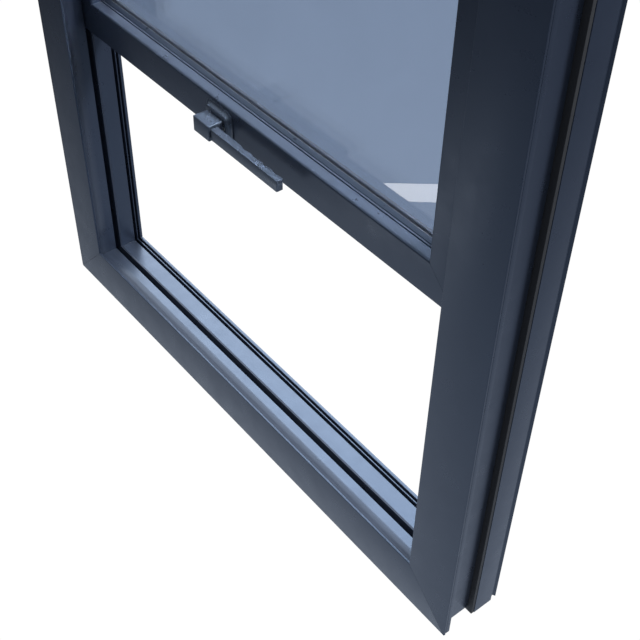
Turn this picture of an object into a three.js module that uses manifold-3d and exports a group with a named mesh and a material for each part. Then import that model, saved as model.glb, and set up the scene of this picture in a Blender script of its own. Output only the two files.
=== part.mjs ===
// A vertical-lift aluminium window: a thermally broken frame with a fixed upper light and a
// double-glazed sash that slides up the inside of it and is clamped by a lever on its bottom rail.
//
// Millimetres, +Z up. The origin is on the underside of the sill, in the middle of its width and
// depth. -Y is the room side (the lever's side) and +Y the weather side. A section is drawn as
// (offset, depth): offset runs from a member's outer edge in towards the opening, and depth runs
// from the room face towards the weather.
import * as THREE from 'three';
import { mergeVertices } from 'three/addons/utils/BufferGeometryUtils.js';
import Module from 'manifold-3d';

const wasm = await Module();
wasm.setup();

// ---- driving dimensions ----
const FRAME_WIDTH = 794;
const FRAME_DEPTH = 91;
const SASH_HEIGHT = 390;              // bottom rail's underside to the top rail's upper edge
const SASH_TRAVEL = 353;              // from shut to fully raised
const SHUT_HEIGHT = 43;               // rail's underside above the sill's underside, shut: as
                                      // low as the hub clears the sill with the lever turned up
const HEAD_ROOM = 42;                 // sash's top edge to the head's outer edge, raised

const FACE_WIDTH = 64;                // frame's face, all four members
const WALL = 2;                       // extruded aluminium wall
const GAP = 0.3;                      // clearance between pieces that touch
const RUNNING_GAP = 0.5;              // clearance between pieces that slide

const COVE_OFFSET = 38.4;             // foot of the frame's cove, and the strip behind it
const COVE_DEPTH = 29.4;
const TRACK_FRONT = 40;               // sash track, front to back
const TRACK_REAR = 51.6;
const TRACK_FLOOR = 15.3;
const TRACK_RIDGE = 31;
const LANDING_OFFSET = 26.2;          // broad flat behind the track
const LANDING_DEPTH = 56.5;
const LIGHT_CHANNEL = 4.5;            // channel of the fixed upper pane
const LIGHT_CHANNEL_FLOOR = 12;
const LIP_OFFSET = 28.2;
const LIP_THICKNESS = 4.2;
const BREAK_START = 42.8;             // thermal break, front to back
const BREAK_END = 46.7;
const RECESS_OFFSET = 8;              // rebate along the frame's outer edge

const SASH_FACE = 42;                 // face width of every sash member
const SASH_FACE_DEPTH = 41.3;         // room face of the sash behind the frame's face
const GUIDE_REACH = 12.8;             // tongue that runs in the track
const GUIDE_THICKNESS = 9.3;
const TRACK_ENGAGEMENT = 19.8;        // tongue's edge from the frame's outer edge
const LOCK_STILE_WIDTH = 61.5;        // extra profile on the right, where the shoe comes out
const LEDGE_REAR = 54.8;
const REBATE_FLOOR = 24;
const REAR_LIP = 1.8;
const REAR_LIP_HEIGHT = 40.3;
const BEAD_RISE = 3.2;
const BEAD_REAR = 63.8;

const PANE = 3;                       // each pane of the sash's sealed unit
const CAVITY = 5.2;
const GASKET = 0.6;
const OUTER_GASKET = 0.8;
const EDGE_COVER = 13;                // glass inside the rebate
const SPACER_SIGHTLINE = 5;           // spacer above the sash's face edge
const UPPER_PANE = 3.6;
const MEETING_RAIL_HEIGHT = 32;
const MEETING_LEDGE = 12;             // rail below the pane's foot
const LIGHT_COVER = 5;                // upper pane's edge off the channel's floor
const FRONT_LIP = { height: 1.6, notch: 1.8, from: 2.6, to: 3.6, edge: 0.6, rear: 9 };
const REAR_FLANGE = { front: 73.6, notch: 76.8, tip: 78.3, rear: 81.3 };
const CLEAT_ARMS = { inner: 62, outer: 52, sash: 48 };
const WIPER_THICKNESS = 4;

const LEVER_PIVOT_X = -61.4;
const LEVER_PIVOT_RISE = 17.8;        // above the rail's underside
const LEVER_LENGTH = 134.9;             // pivot to tip
const LEVER_HEIGHT = 13.9;
const LEVER_THICKNESS = 8.8;
const LEVER_SETBACK = 1.9;              // its room face behind the hub's
const LEVER_NECK = 2.2;               // bare tenon between the hub and the arm
const FINGER_WAVES = 4;
const FINGER_PITCH = 18;
const FINGER_DEPTH = 1.7;
const HUB = { width: 29.8, height: 19.4, depth: 19.2, corner: 1.6, chamfer: 1 };
const TENON = { reach: 11.2, height: 7, thickness: 4.6, root: 3 };
const SOCKET_DEPTH = 12;              // spindle's hold in the hub
const ROSE = { width: 39, height: 29.6, depth: 5.4, corner: 6, flare: 5.5, foot: 0.8, trim: 0.8 };
const SCREW_SPACING = 24;             // hidden by the hub until the lever is turned up
const SCREW = { seat: 2.3, shank: 11, head: 1.8, radius: 2, headRadius: 4.2, clearance: 0.4 };
const SPINDLE = 7;
const SPINDLE_BORE = 5.95;            // round hole that the spindle's corners turn in
const PINION_RADIUS = 6;
const RACK = { height: 4, depth: 4 };
const SHOE = { length: 9, height: 16, depth: 6 };
const HOUSING_WIDTH = 50;
const DRIVE_CLEARANCE = 0.6;          // round the rods, shoes and pinion
const LEFT_SHOE_LIFT = 2.5;           // keeps the left shoe off the rail's underside
const SHOE_STROKE = PINION_RADIUS * Math.PI / 2;

// ---- places that follow from them ----
const FRAME_HEIGHT = SHUT_HEIGHT + SASH_TRAVEL + SASH_HEIGHT + HEAD_ROOM;
const RAISED = SHUT_HEIGHT + SASH_TRAVEL;
const ROOM_FACE = -FRAME_DEPTH / 2;
const SASH_LEFT = -FRAME_WIDTH / 2 + TRACK_ENGAGEMENT;
const SASH_RIGHT = FRAME_WIDTH / 2 - TRACK_ENGAGEMENT - LOCK_STILE_WIDTH;
const SASH_WIDTH = SASH_RIGHT - SASH_LEFT;
const SASH_CENTRE = (SASH_LEFT + SASH_RIGHT) / 2;
const PIVOT_Z = RAISED + LEVER_PIVOT_RISE;
const MITRE_GAP = GAP / Math.SQRT2;
const INNER_PANE_DEPTH = BEAD_REAR + GASKET;
const OUTER_PANE_DEPTH = INNER_PANE_DEPTH + PANE + CAVITY;
const SASH_REAR_DEPTH = OUTER_PANE_DEPTH + PANE + OUTER_GASKET + REAR_LIP;
const LIGHT_CHANNEL_DEPTH = SASH_REAR_DEPTH + RUNNING_GAP;
const GLASS_EDGE = SASH_FACE - EDGE_COVER;
const CHAMBER_FRONT = SASH_FACE_DEPTH + WALL;
const CHAMBER_REAR = LEDGE_REAR - WALL;
const UPPER_PANE_DEPTH = LIGHT_CHANNEL_DEPTH + (LIGHT_CHANNEL - UPPER_PANE) / 2;
const MEETING_TOP = SHUT_HEIGHT + SASH_HEIGHT - 2 * GAP - 2;
const MEETING_BOTTOM = MEETING_TOP - MEETING_RAIL_HEIGHT;

// ---- finishes ----
const finish = (color, roughness, metalness) => ({ color, roughness, metalness });
const ANTHRACITE = finish(0x3b4250, 0.42, 0.35);
const POLYAMIDE = finish(0x17191d, 0.75, 0);
const CAST_ZINC = finish(0x9a9c9e, 0.5, 0.9);
const GLASS = finish(0x8fa0b4, 0.05, 0);
const SPACER = finish(0x3c414b, 0.6, 0.2);
const RUBBER = finish(0x101113, 0.8, 0);
const STEEL = finish(0xb4b8bd, 0.35, 1);
const NYLON = finish(0x1d1f22, 0.6, 0);

const group = new THREE.Group();

function add(name, geometry, look, place = [0, 0, 0], turnY = 0) {
  const mesh = new THREE.Mesh(geometry, new THREE.MeshStandardMaterial(look));
  mesh.name = name;
  mesh.position.set(...place);
  mesh.rotation.y = turnY;
  group.add(mesh);
}

// ---- outlines and solids ----
function outline(points) {
  return new THREE.Shape(points.map(([x, y]) => new THREE.Vector2(x, y)));
}

function hole(points) {
  return new THREE.Path(points.map(([x, y]) => new THREE.Vector2(x, y)));
}

function rectangle(x0, y0, x1, y1) {
  return [[x0, y0], [x1, y0], [x1, y1], [x0, y1]];
}

function roundedRectangle(width, height, radius) {
  const [x, y, shape] = [width / 2, height / 2, new THREE.Shape()];
  shape.absarc(x - radius, y - radius, radius, 0, Math.PI / 2);
  shape.absarc(-x + radius, y - radius, radius, Math.PI / 2, Math.PI);
  shape.absarc(-x + radius, -y + radius, radius, Math.PI, 1.5 * Math.PI);
  shape.absarc(x - radius, -y + radius, radius, 1.5 * Math.PI, 2 * Math.PI);
  return shape;
}

function box(x0, y0, z0, x1, y1, z1) {
  const geometry = new THREE.BoxGeometry(x1 - x0, y1 - y0, z1 - z0);
  return geometry.translate((x0 + x1) / 2, (y0 + y1) / 2, (z0 + z1) / 2);
}

// An outline in X and Z, given its thickness along Y from depth y0.
function plate(shape, y0, thickness, curveSegments = 6) {
  const geometry = new THREE.ExtrudeGeometry(shape, {
    depth: thickness, bevelEnabled: false, curveSegments,
  });
  return geometry.rotateX(Math.PI / 2).translate(0, y0 + thickness, 0);
}

// The same, with its edges chamfered front and back.
function chamferedPlate(shape, y0, thickness, chamfer) {
  const geometry = new THREE.ExtrudeGeometry(shape, {
    depth: thickness - 2 * chamfer, bevelThickness: chamfer, bevelSize: chamfer,
    bevelOffset: -chamfer, bevelSegments: 1, curveSegments: 5,
  });
  return geometry.rotateX(Math.PI / 2).translate(0, y0 + thickness - chamfer, 0);
}

function rod(radius, length, sides = 24) {
  return new THREE.CylinderGeometry(radius, radius, length, sides);
}

function toSolid(geometry) {
  const bare = geometry.clone();
  bare.deleteAttribute('normal');
  bare.deleteAttribute('uv');
  const merged = mergeVertices(bare);
  return new wasm.Manifold(new wasm.Mesh({
    numProp: 3,
    vertProperties: new Float32Array(merged.attributes.position.array),
    triVerts: new Uint32Array(merged.index.array),
  }));
}

function toGeometry(solid) {
  const mesh = solid.getMesh();
  const geometry = new THREE.BufferGeometry();
  geometry.setAttribute('position', new THREE.BufferAttribute(mesh.vertProperties, 3));
  geometry.setIndex(new THREE.BufferAttribute(mesh.triVerts, 1));
  return geometry;
}

function cut(geometry, tools) {
  return toGeometry(tools.reduce((solid, tool) => solid.subtract(toSolid(tool)), toSolid(geometry)));
}

// A straight member of a ring: the section runs along X, its offset towards +Z, and each end is
// mitred at 45 degrees.
function member(section, length) {
  const geometry = new THREE.ExtrudeGeometry(section, {
    depth: 1, bevelEnabled: false, curveSegments: 10,
  });
  geometry.rotateY(-Math.PI / 2);
  const place = geometry.attributes.position;
  for (let i = 0; i < place.count; i += 1) {
    const side = place.getX(i) < -0.5 ? -1 : 1;
    place.setX(i, side * (length / 2 - place.getZ(i) - MITRE_GAP));
  }
  return geometry;
}

const SIDES = ['bottom', 'right', 'top', 'left'];

// Where each side of a ring stands, and how it is turned from lying along X at the bottom.
function ringPlaces(width, height, centreX, baseZ) {
  const middle = baseZ + height / 2;
  return {
    bottom: { length: width, place: [centreX, ROOM_FACE, baseZ], turn: 0 },
    right: { length: height, place: [centreX + width / 2, ROOM_FACE, middle], turn: -Math.PI / 2 },
    top: { length: width, place: [centreX, ROOM_FACE, baseZ + height], turn: Math.PI },
    left: { length: height, place: [centreX - width / 2, ROOM_FACE, middle], turn: Math.PI / 2 },
  };
}

// Four mitred members round a rectangle. A side's cutters are given in the whole window's frame.
function ring(names, section, look, places, cutters = {}) {
  for (const side of SIDES) {
    const { length, place, turn } = places[side];
    const geometry = member(section, length).rotateY(turn).translate(...place);
    add(names[side], cutters[side] ? cut(geometry, cutters[side]) : geometry, look);
  }
}

// An angle bracket lying in a corner of two chambers.
function cornerAngle(arm, [offset0, depth0], [offset1, depth1]) {
  return plate(outline([
    [offset0, offset0], [offset0 + arm, offset0], [offset0 + arm, offset1],
    [offset1, offset1], [offset1, offset0 + arm], [offset0, offset0 + arm],
  ]), ROOM_FACE + depth0, depth1 - depth0);
}

const CORNERS = {
  bottom_left: [-1, -1], bottom_right: [1, -1], top_right: [1, 1], top_left: [-1, 1],
};

function cornerAngles(prefix, arm, low, high, look, { width, height, centreX, baseZ }) {
  for (const [name, [right, up]] of Object.entries(CORNERS)) {
    const angle = cornerAngle(arm, low, high);
    const quarter = { '-1,-1': 0, '1,-1': -1, '1,1': 2, '-1,1': 1 }[`${right},${up}`];
    const x = centreX + right * width / 2;
    const z = baseZ + height / 2 + up * height / 2;
    add(`${prefix}_${name}`, angle.rotateY(quarter * Math.PI / 2).translate(x, 0, z), look);
  }
}

// A flat ring round an opening, in X and Z.
function flatRing(width, height, band, depth, thickness, centreX, baseZ) {
  const shape = outline(rectangle(-width / 2, 0, width / 2, height));
  shape.holes.push(hole(rectangle(-width / 2 + band, band, width / 2 - band, height - band)));
  return plate(shape, ROOM_FACE + depth, thickness).translate(centreX, 0, baseZ);
}

// ---- frame ----
const frameSize = { width: FRAME_WIDTH, height: FRAME_HEIGHT, centreX: 0, baseZ: 0 };
const framePlaces = ringPlaces(FRAME_WIDTH, FRAME_HEIGHT, 0, 0);
const frameNames = (piece) => ({
  bottom: `sill_${piece}`, right: `right_jamb_${piece}`, top: `head_${piece}`, left: `left_jamb_${piece}`,
});

// Room-side extrusion: the face, its cove, the strip and the front wall of the track.
function innerProfile() {
  const lip = FRONT_LIP;
  const section = new THREE.Shape();
  section.moveTo(0, 0);
  section.lineTo(FACE_WIDTH - lip.edge, 0);
  section.lineTo(FACE_WIDTH, lip.edge);
  section.lineTo(FACE_WIDTH, lip.height);
  section.quadraticCurveTo(COVE_OFFSET + 4.6, 12, COVE_OFFSET, COVE_DEPTH);
  section.lineTo(COVE_OFFSET, TRACK_FRONT);
  section.lineTo(TRACK_FLOOR, TRACK_FRONT);
  section.lineTo(TRACK_FLOOR, BREAK_START - GAP);
  section.lineTo(RECESS_OFFSET, BREAK_START - GAP);
  section.lineTo(RECESS_OFFSET, lip.rear);
  section.lineTo(lip.edge, lip.rear);
  section.lineTo(lip.edge, lip.to);
  section.lineTo(lip.notch, lip.to);
  section.lineTo(lip.notch, lip.from);
  section.lineTo(0, lip.from);
  const rear = TRACK_FRONT - WALL;
  section.holes.push(hole([
    [RECESS_OFFSET + WALL, WALL], [COVE_OFFSET + 8, WALL], [COVE_OFFSET - WALL, COVE_DEPTH - 8],
    [COVE_OFFSET - WALL, rear], [RECESS_OFFSET + WALL, rear],
  ]));
  return section;
}

// Insulating bar between the two extrusions; its inner edge is part of the track's floor.
function thermalBar() {
  const section = outline(rectangle(1, BREAK_START, TRACK_FLOOR, BREAK_END));
  section.holes.push(hole(rectangle(3, BREAK_START + 1.2, TRACK_FLOOR - WALL, BREAK_END - 1.2)));
  return section;
}

// Weather-side extrusion: the track's rear ridge, the broad flat, the upper light's channel and lip.
function outerProfile() {
  const channelRear = LIGHT_CHANNEL_DEPTH + LIGHT_CHANNEL;
  const lipFront = FRAME_DEPTH - LIP_THICKNESS;
  const flange = REAR_FLANGE;
  const section = outline([
    [0.5, BREAK_END + GAP], [TRACK_FLOOR, BREAK_END + GAP], [TRACK_FLOOR, TRACK_REAR],
    [TRACK_RIDGE, TRACK_REAR], [LANDING_OFFSET, LANDING_DEPTH], [LANDING_OFFSET, LIGHT_CHANNEL_DEPTH],
    [LIGHT_CHANNEL_FLOOR, LIGHT_CHANNEL_DEPTH], [LIGHT_CHANNEL_FLOOR, channelRear],
    [LANDING_OFFSET - 0.6, channelRear], [LANDING_OFFSET - 0.6, channelRear + 1.6],
    [LIGHT_CHANNEL_FLOOR + WALL, channelRear + 1.6], [LIGHT_CHANNEL_FLOOR + WALL, lipFront],
    [LIP_OFFSET, lipFront], [LIP_OFFSET, FRAME_DEPTH], [RECESS_OFFSET + 1, FRAME_DEPTH],
    [RECESS_OFFSET + 1, flange.rear], [0.6, flange.rear], [3, flange.tip], [3, flange.notch],
    [5, flange.notch], [5, flange.front], [0.5, flange.front],
  ]);
  section.holes.push(hole([
    [2.5, BREAK_END + 3], [TRACK_FLOOR - WALL, BREAK_END + 3],
    [TRACK_FLOOR - WALL, TRACK_REAR + WALL], [TRACK_RIDGE - 6.5, TRACK_REAR + WALL],
    [LANDING_OFFSET - WALL, LANDING_DEPTH], [LANDING_OFFSET - WALL, LIGHT_CHANNEL_DEPTH - WALL],
    [LIGHT_CHANNEL_FLOOR - WALL, LIGHT_CHANNEL_DEPTH - WALL],
    [LIGHT_CHANNEL_FLOOR - WALL, flange.front - WALL], [2.5, flange.front - WALL],
  ]));
  return section;
}

ring(frameNames('inner_profile'), innerProfile(), ANTHRACITE, framePlaces);
ring(frameNames('thermal_bar'), thermalBar(), POLYAMIDE, framePlaces);
ring(frameNames('outer_profile'), outerProfile(), ANTHRACITE, framePlaces);
const innerChamber = [
  [RECESS_OFFSET + WALL + GAP, WALL + GAP],
  [COVE_OFFSET - WALL - GAP, TRACK_FRONT - WALL - GAP],
];
const outerChamber = [
  [TRACK_FLOOR - WALL + GAP, TRACK_REAR + 5],
  [LANDING_OFFSET - WALL - GAP, LIGHT_CHANNEL_DEPTH - WALL - GAP],
];
cornerAngles('inner_corner_cleat', CLEAT_ARMS.inner, ...innerChamber, CAST_ZINC, frameSize);
cornerAngles('outer_corner_cleat', CLEAT_ARMS.outer, ...outerChamber, CAST_ZINC, frameSize);

// ---- fixed upper light ----
// The pane's foot stands on the meeting rail's ledge, against its upstand; its other edges are in
// the frame's channel.
const lightEdge = LIGHT_CHANNEL_FLOOR + LIGHT_COVER;
const lightSide = FRAME_WIDTH / 2 - lightEdge;
const lightFoot = MEETING_BOTTOM + MEETING_LEDGE;
const lightFront = ROOM_FACE + UPPER_PANE_DEPTH;
const railHalf = FRAME_WIDTH / 2 - LIP_OFFSET - GAP;
const railFront = ROOM_FACE + SASH_REAR_DEPTH + RUNNING_GAP;
const railRear = ROOM_FACE + FRAME_DEPTH - LIP_THICKNESS;
add('upper_pane', box(
  -lightSide, lightFront, lightFoot,
  lightSide, lightFront + UPPER_PANE, FRAME_HEIGHT - lightEdge,
), GLASS);
add('meeting_rail', cut(
  box(-railHalf, railFront, MEETING_BOTTOM, railHalf, railRear, MEETING_TOP),
  [box(
    -railHalf - 1, railFront - 1, lightFoot - GAP,
    railHalf + 1, lightFront + UPPER_PANE + GAP, MEETING_TOP + 1,
  )],
), ANTHRACITE);

// ---- sash ----
const sashPlaces = ringPlaces(SASH_WIDTH, SASH_HEIGHT, SASH_CENTRE, RAISED);
const sashSize = { width: SASH_WIDTH, height: SASH_HEIGHT, centreX: SASH_CENTRE, baseZ: RAISED };
const driveDepth = ROOM_FACE + CHAMBER_FRONT + GAP + 0.4;

// One extrusion serves all four sides: a tongue for the track, a front chamber for the drive, a
// rear chamber for the corner cleats, and a rebate for the sealed unit behind the ledge.
function sashProfile() {
  const round = 3;
  const tongueRear = SASH_FACE_DEPTH + GUIDE_THICKNESS;
  const rebateRear = SASH_REAR_DEPTH - REAR_LIP;
  const section = new THREE.Shape();
  section.moveTo(0, SASH_FACE_DEPTH);
  section.lineTo(SASH_FACE - round, SASH_FACE_DEPTH);
  section.absarc(SASH_FACE - round, SASH_FACE_DEPTH + round, round, -Math.PI / 2, 0);
  section.lineTo(SASH_FACE, LEDGE_REAR);
  section.lineTo(REBATE_FLOOR, LEDGE_REAR);
  section.lineTo(REBATE_FLOOR, rebateRear);
  section.lineTo(REAR_LIP_HEIGHT, rebateRear);
  section.lineTo(REAR_LIP_HEIGHT, SASH_REAR_DEPTH);
  section.lineTo(GUIDE_REACH, SASH_REAR_DEPTH);
  section.lineTo(GUIDE_REACH, tongueRear);
  section.lineTo(0, tongueRear);
  section.holes.push(hole([
    [WALL, CHAMBER_FRONT], [SASH_FACE - WALL, CHAMBER_FRONT], [SASH_FACE - WALL, CHAMBER_REAR],
    [GUIDE_REACH + WALL, CHAMBER_REAR], [GUIDE_REACH + WALL, tongueRear - WALL],
    [WALL, tongueRear - WALL],
  ]));
  section.holes.push(hole(rectangle(
    GUIDE_REACH + WALL, LEDGE_REAR + 1.2, REBATE_FLOOR - WALL, rebateRear - WALL,
  )));
  return section;
}

// The drive's rods run level through the corners and out of both sides of the sash.
const rackRise = { left: PIVOT_Z - PINION_RADIUS - GAP - RACK.height / 2,
  right: PIVOT_Z + PINION_RADIUS + GAP + RACK.height / 2 };
const driveRear = driveDepth + RACK.depth;

function rodTunnel(x0, x1, z) {
  const [high, deep] = [RACK.height / 2 + DRIVE_CLEARANCE, DRIVE_CLEARANCE];
  return box(x0, driveDepth - deep, z - high, x1, driveRear + deep, z + high);
}

const shoeMid = (driveDepth + driveRear) / 2;

function shoeWell(x0, x1, z) {
  const [high, deep] = [SHOE.height / 2 + DRIVE_CLEARANCE, SHOE.depth / 2 + DRIVE_CLEARANCE];
  return box(x0, shoeMid - deep, z - high, x1, shoeMid + deep, z + high);
}

const shoeStowed = SHOE.length + SHOE_STROKE + 1;
const trackLeft = -FRAME_WIDTH / 2 + TRACK_FLOOR;
const trackRight = FRAME_WIDTH / 2 - TRACK_FLOOR;
const shoeRise = { left: rackRise.left + LEFT_SHOE_LIFT, right: rackRise.right };
const leftWell = shoeWell(SASH_LEFT - 1, trackLeft + shoeStowed, shoeRise.left);
const leftTunnel = rodTunnel(SASH_LEFT - 1, SASH_LEFT + SASH_FACE + 2, rackRise.left);
const rightTunnel = rodTunnel(SASH_RIGHT - SASH_FACE - 2, SASH_RIGHT + 1, rackRise.right);
const screwBore = SCREW.radius + SCREW.clearance;
const sashFront = ROOM_FACE + SASH_FACE_DEPTH;
const spindleHole = rod(SPINDLE_BORE, 8).translate(LEVER_PIVOT_X, sashFront, PIVOT_Z);
const screwHoles = [-1, 1].map((side) => rod(screwBore, 8, 12).translate(
  LEVER_PIVOT_X + side * SCREW_SPACING / 2, sashFront, PIVOT_Z,
));

ring(
  { bottom: 'sash_bottom_rail', right: 'sash_right_stile', top: 'sash_top_rail', left: 'sash_left_stile' },
  sashProfile(), ANTHRACITE, sashPlaces,
  {
    bottom: [spindleHole, ...screwHoles, leftWell, leftTunnel],
    left: [leftWell, leftTunnel],
    right: [rightTunnel],
  },
);
cornerAngles(
  'sash_corner_cleat', CLEAT_ARMS.sash,
  [GUIDE_REACH + WALL + GAP, LEDGE_REAR + 1.2 + GAP],
  [REBATE_FLOOR - WALL - GAP, SASH_REAR_DEPTH - REAR_LIP - WALL - GAP], CAST_ZINC, sashSize,
);

// The profile beside the right stile carries the right-hand tongue and lets the shoe out.
function lockStile() {
  const tongueRear = SASH_FACE_DEPTH + GUIDE_THICKNESS;
  const section = outline([
    [0, SASH_FACE_DEPTH], [LOCK_STILE_WIDTH - GAP, SASH_FACE_DEPTH],
    [LOCK_STILE_WIDTH - GAP, SASH_REAR_DEPTH], [GUIDE_REACH, SASH_REAR_DEPTH],
    [GUIDE_REACH, tongueRear], [0, tongueRear],
  ]);
  section.holes.push(hole([
    [WALL, CHAMBER_FRONT], [LOCK_STILE_WIDTH - GAP - WALL, CHAMBER_FRONT],
    [LOCK_STILE_WIDTH - GAP - WALL, SASH_REAR_DEPTH - WALL],
    [GUIDE_REACH + WALL, SASH_REAR_DEPTH - WALL], [GUIDE_REACH + WALL, tongueRear - WALL],
    [WALL, tongueRear - WALL],
  ]));
  const geometry = new THREE.ExtrudeGeometry(section, { depth: SASH_HEIGHT, bevelEnabled: false });
  return geometry.rotateY(-Math.PI / 2).translate(SASH_HEIGHT / 2, 0, 0).rotateY(-Math.PI / 2)
    .translate(SASH_RIGHT + LOCK_STILE_WIDTH, ROOM_FACE, RAISED + SASH_HEIGHT / 2);
}

const sashEdge = SASH_RIGHT + LOCK_STILE_WIDTH;
add('sash_lock_stile', cut(lockStile(), [
  shoeWell(trackRight - shoeStowed, sashEdge + 1, shoeRise.right),
  rodTunnel(SASH_RIGHT - 1, sashEdge + 1, rackRise.right),
]), ANTHRACITE);

// Snap-in glazing beads: a fine rib, a groove and a slope that rises to the glass.
function beadProfile() {
  const front = LEDGE_REAR + GAP;
  const top = SASH_FACE;
  return outline([
    [REBATE_FLOOR + GAP, front], [top - 1, front], [top - 1, front + 0.7], [top + 0.3, front + 1.1],
    [top + 0.3, front + 2.6], [top - 0.8, front + 3], [top - 0.8, front + 4.1], [top, front + 4.3],
    [top + BEAD_RISE, BEAD_REAR - 0.5], [top + BEAD_RISE - 0.5, BEAD_REAR],
    [REBATE_FLOOR + GAP, BEAD_REAR],
  ]);
}

ring(
  { bottom: 'glazing_bead_bottom', right: 'glazing_bead_right', top: 'glazing_bead_top', left: 'glazing_bead_left' },
  beadProfile(), ANTHRACITE, sashPlaces,
);

function unitRing(edge, band, depth, thickness) {
  const [width, height] = [SASH_WIDTH - 2 * edge, SASH_HEIGHT - 2 * edge];
  return flatRing(width, height, band, depth, thickness, SASH_CENTRE, RAISED + edge);
}

function sealedPane(depth) {
  const [half, low] = [SASH_WIDTH / 2 - GLASS_EDGE, RAISED + GLASS_EDGE];
  const front = ROOM_FACE + depth;
  return box(
    SASH_CENTRE - half, front, low,
    SASH_CENTRE + half, front + PANE, RAISED + SASH_HEIGHT - GLASS_EDGE,
  );
}

const spacerTop = SASH_FACE + SPACER_SIGHTLINE;
const gasketTop = SASH_FACE + BEAD_RISE - 0.4;
add('inner_pane', sealedPane(INNER_PANE_DEPTH), GLASS);
add('outer_pane', sealedPane(OUTER_PANE_DEPTH), GLASS);
add('glazing_spacer', unitRing(
  GLASS_EDGE, spacerTop - GLASS_EDGE, INNER_PANE_DEPTH + PANE + GAP / 2, CAVITY - GAP,
), SPACER);
add('inner_glazing_gasket', unitRing(
  GLASS_EDGE, gasketTop - GLASS_EDGE, BEAD_REAR + GAP / 2, GASKET - GAP,
), RUBBER);
const outerGasketDepth = OUTER_PANE_DEPTH + PANE + GAP / 2;
add('outer_glazing_gasket', unitRing(
  GLASS_EDGE, REAR_LIP_HEIGHT - GLASS_EDGE, outerGasketDepth,
  SASH_REAR_DEPTH - REAR_LIP - GAP / 2 - outerGasketDepth,
), RUBBER);

// Wiper under the rail: it meets the track's ridge when the sash is shut.
const wiperFront = ROOM_FACE + SASH_FACE_DEPTH + GUIDE_THICKNESS + GAP;
const wiperTop = RAISED + GUIDE_REACH - GAP;
add('bottom_wiper_seal', box(
  SASH_LEFT + GUIDE_REACH + 1, wiperFront, RAISED - SHUT_HEIGHT + TRACK_RIDGE + GAP,
  SASH_RIGHT - GAP, wiperFront + WIPER_THICKNESS, wiperTop,
), RUBBER);

// ---- lever and drive ----
const roseFront = sashFront - GAP - ROSE.depth;
const hubRear = roseFront - RUNNING_GAP - GAP;
const hubFront = hubRear - HUB.depth;
const atPivot = (geometry, x = 0, z = 0) => geometry.translate(LEVER_PIVOT_X + x, 0, PIVOT_Z + z);
const screwX = (side) => side * SCREW_SPACING / 2;

// Closed rings of points, from the rail to the room, skinned and capped.
function loft(rings) {
  const [count, last, faces] = [rings[0].length, rings.length - 1, []];
  const middles = [rings[0], rings[last]].map((ring) => [0, ring[0][1], 0]);
  const [rearMiddle, frontMiddle] = [count * rings.length, count * rings.length + 1];
  for (let i = 0; i < count; i += 1) {
    const next = (i + 1) % count;
    for (let k = 0; k < last; k += 1) {
      const [a, b] = [k * count + i, k * count + next];
      faces.push(a, b, b + count, a, b + count, a + count);
    }
    faces.push(rearMiddle, next, i, frontMiddle, last * count + i, last * count + next);
  }
  const geometry = new THREE.BufferGeometry();
  const places = [...rings.flat(), ...middles].flat();
  geometry.setAttribute('position', new THREE.BufferAttribute(new Float32Array(places), 3));
  return geometry.setIndex(faces);
}

// The rose's sides are hollowed: they sweep out from its front to a thin foot on the rail, and the
// foot is trimmed above the rail's lower edge.
function rose() {
  const sweep = ROSE.depth - ROSE.foot;
  const steps = 6;
  const levels = [[0, ROSE.flare]];
  for (let step = 0; step <= steps; step += 1) {
    const turn = step / steps * Math.PI / 2;
    levels.push([ROSE.foot + sweep * (1 - Math.cos(turn)), ROSE.flare * (1 - Math.sin(turn))]);
  }
  const rear = roseFront + ROSE.depth;
  return loft(levels.map(([rise, grow]) => roundedRectangle(
    ROSE.width + 2 * grow, ROSE.height + 2 * grow, ROSE.corner + grow,
  ).getPoints(6).map(({ x, y }) => [x, rear - rise, y])));
}

const screwSides = [-1, 1];
const screwHead = SCREW.headRadius + SCREW.clearance;
const reach = ROSE.width + 2 * ROSE.flare;
add('lever_rose', atPivot(cut(rose(), [
  rod(SPINDLE_BORE, 40).translate(0, roseFront, 0),
  box(-reach, roseFront - 1, -reach, reach, sashFront, ROSE.trim - LEVER_PIVOT_RISE),
  ...screwSides.map((side) => rod(screwBore, 40, 12).translate(screwX(side), roseFront, 0)),
  ...screwSides.map((side) => rod(screwHead, 2 * SCREW.seat, 20).translate(screwX(side), roseFront, 0)),
])), ANTHRACITE);

function screw() {
  const headRear = SCREW.shank + SCREW.head;
  return new THREE.LatheGeometry([
    new THREE.Vector2(0, 0), new THREE.Vector2(SCREW.radius, 0),
    new THREE.Vector2(SCREW.radius, SCREW.shank), new THREE.Vector2(SCREW.headRadius, SCREW.shank),
    new THREE.Vector2(SCREW.headRadius, headRear), new THREE.Vector2(0, headRear),
  ], 16).rotateX(Math.PI).translate(0, roseFront + SCREW.seat - GAP + SCREW.shank, 0);
}

add('rose_screw_left', atPivot(screw(), screwX(-1)), STEEL);
add('rose_screw_right', atPivot(screw(), screwX(1)), STEEL);

// The hub's tenon carries the lever; the lever's room face is set back a little from the hub's.
const leverFront = hubFront + LEVER_SETBACK;
const leverMid = leverFront + LEVER_THICKNESS / 2;
const hubEdge = HUB.width / 2;
const hubShape = roundedRectangle(HUB.width, HUB.height, HUB.corner);

function tenonBox(clearance) {
  const [high, deep] = [TENON.height / 2 + clearance, TENON.thickness / 2 + clearance];
  return box(
    hubEdge - TENON.root, leverMid - deep, -high,
    hubEdge + TENON.reach + clearance, leverMid + deep, high,
  );
}

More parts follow.
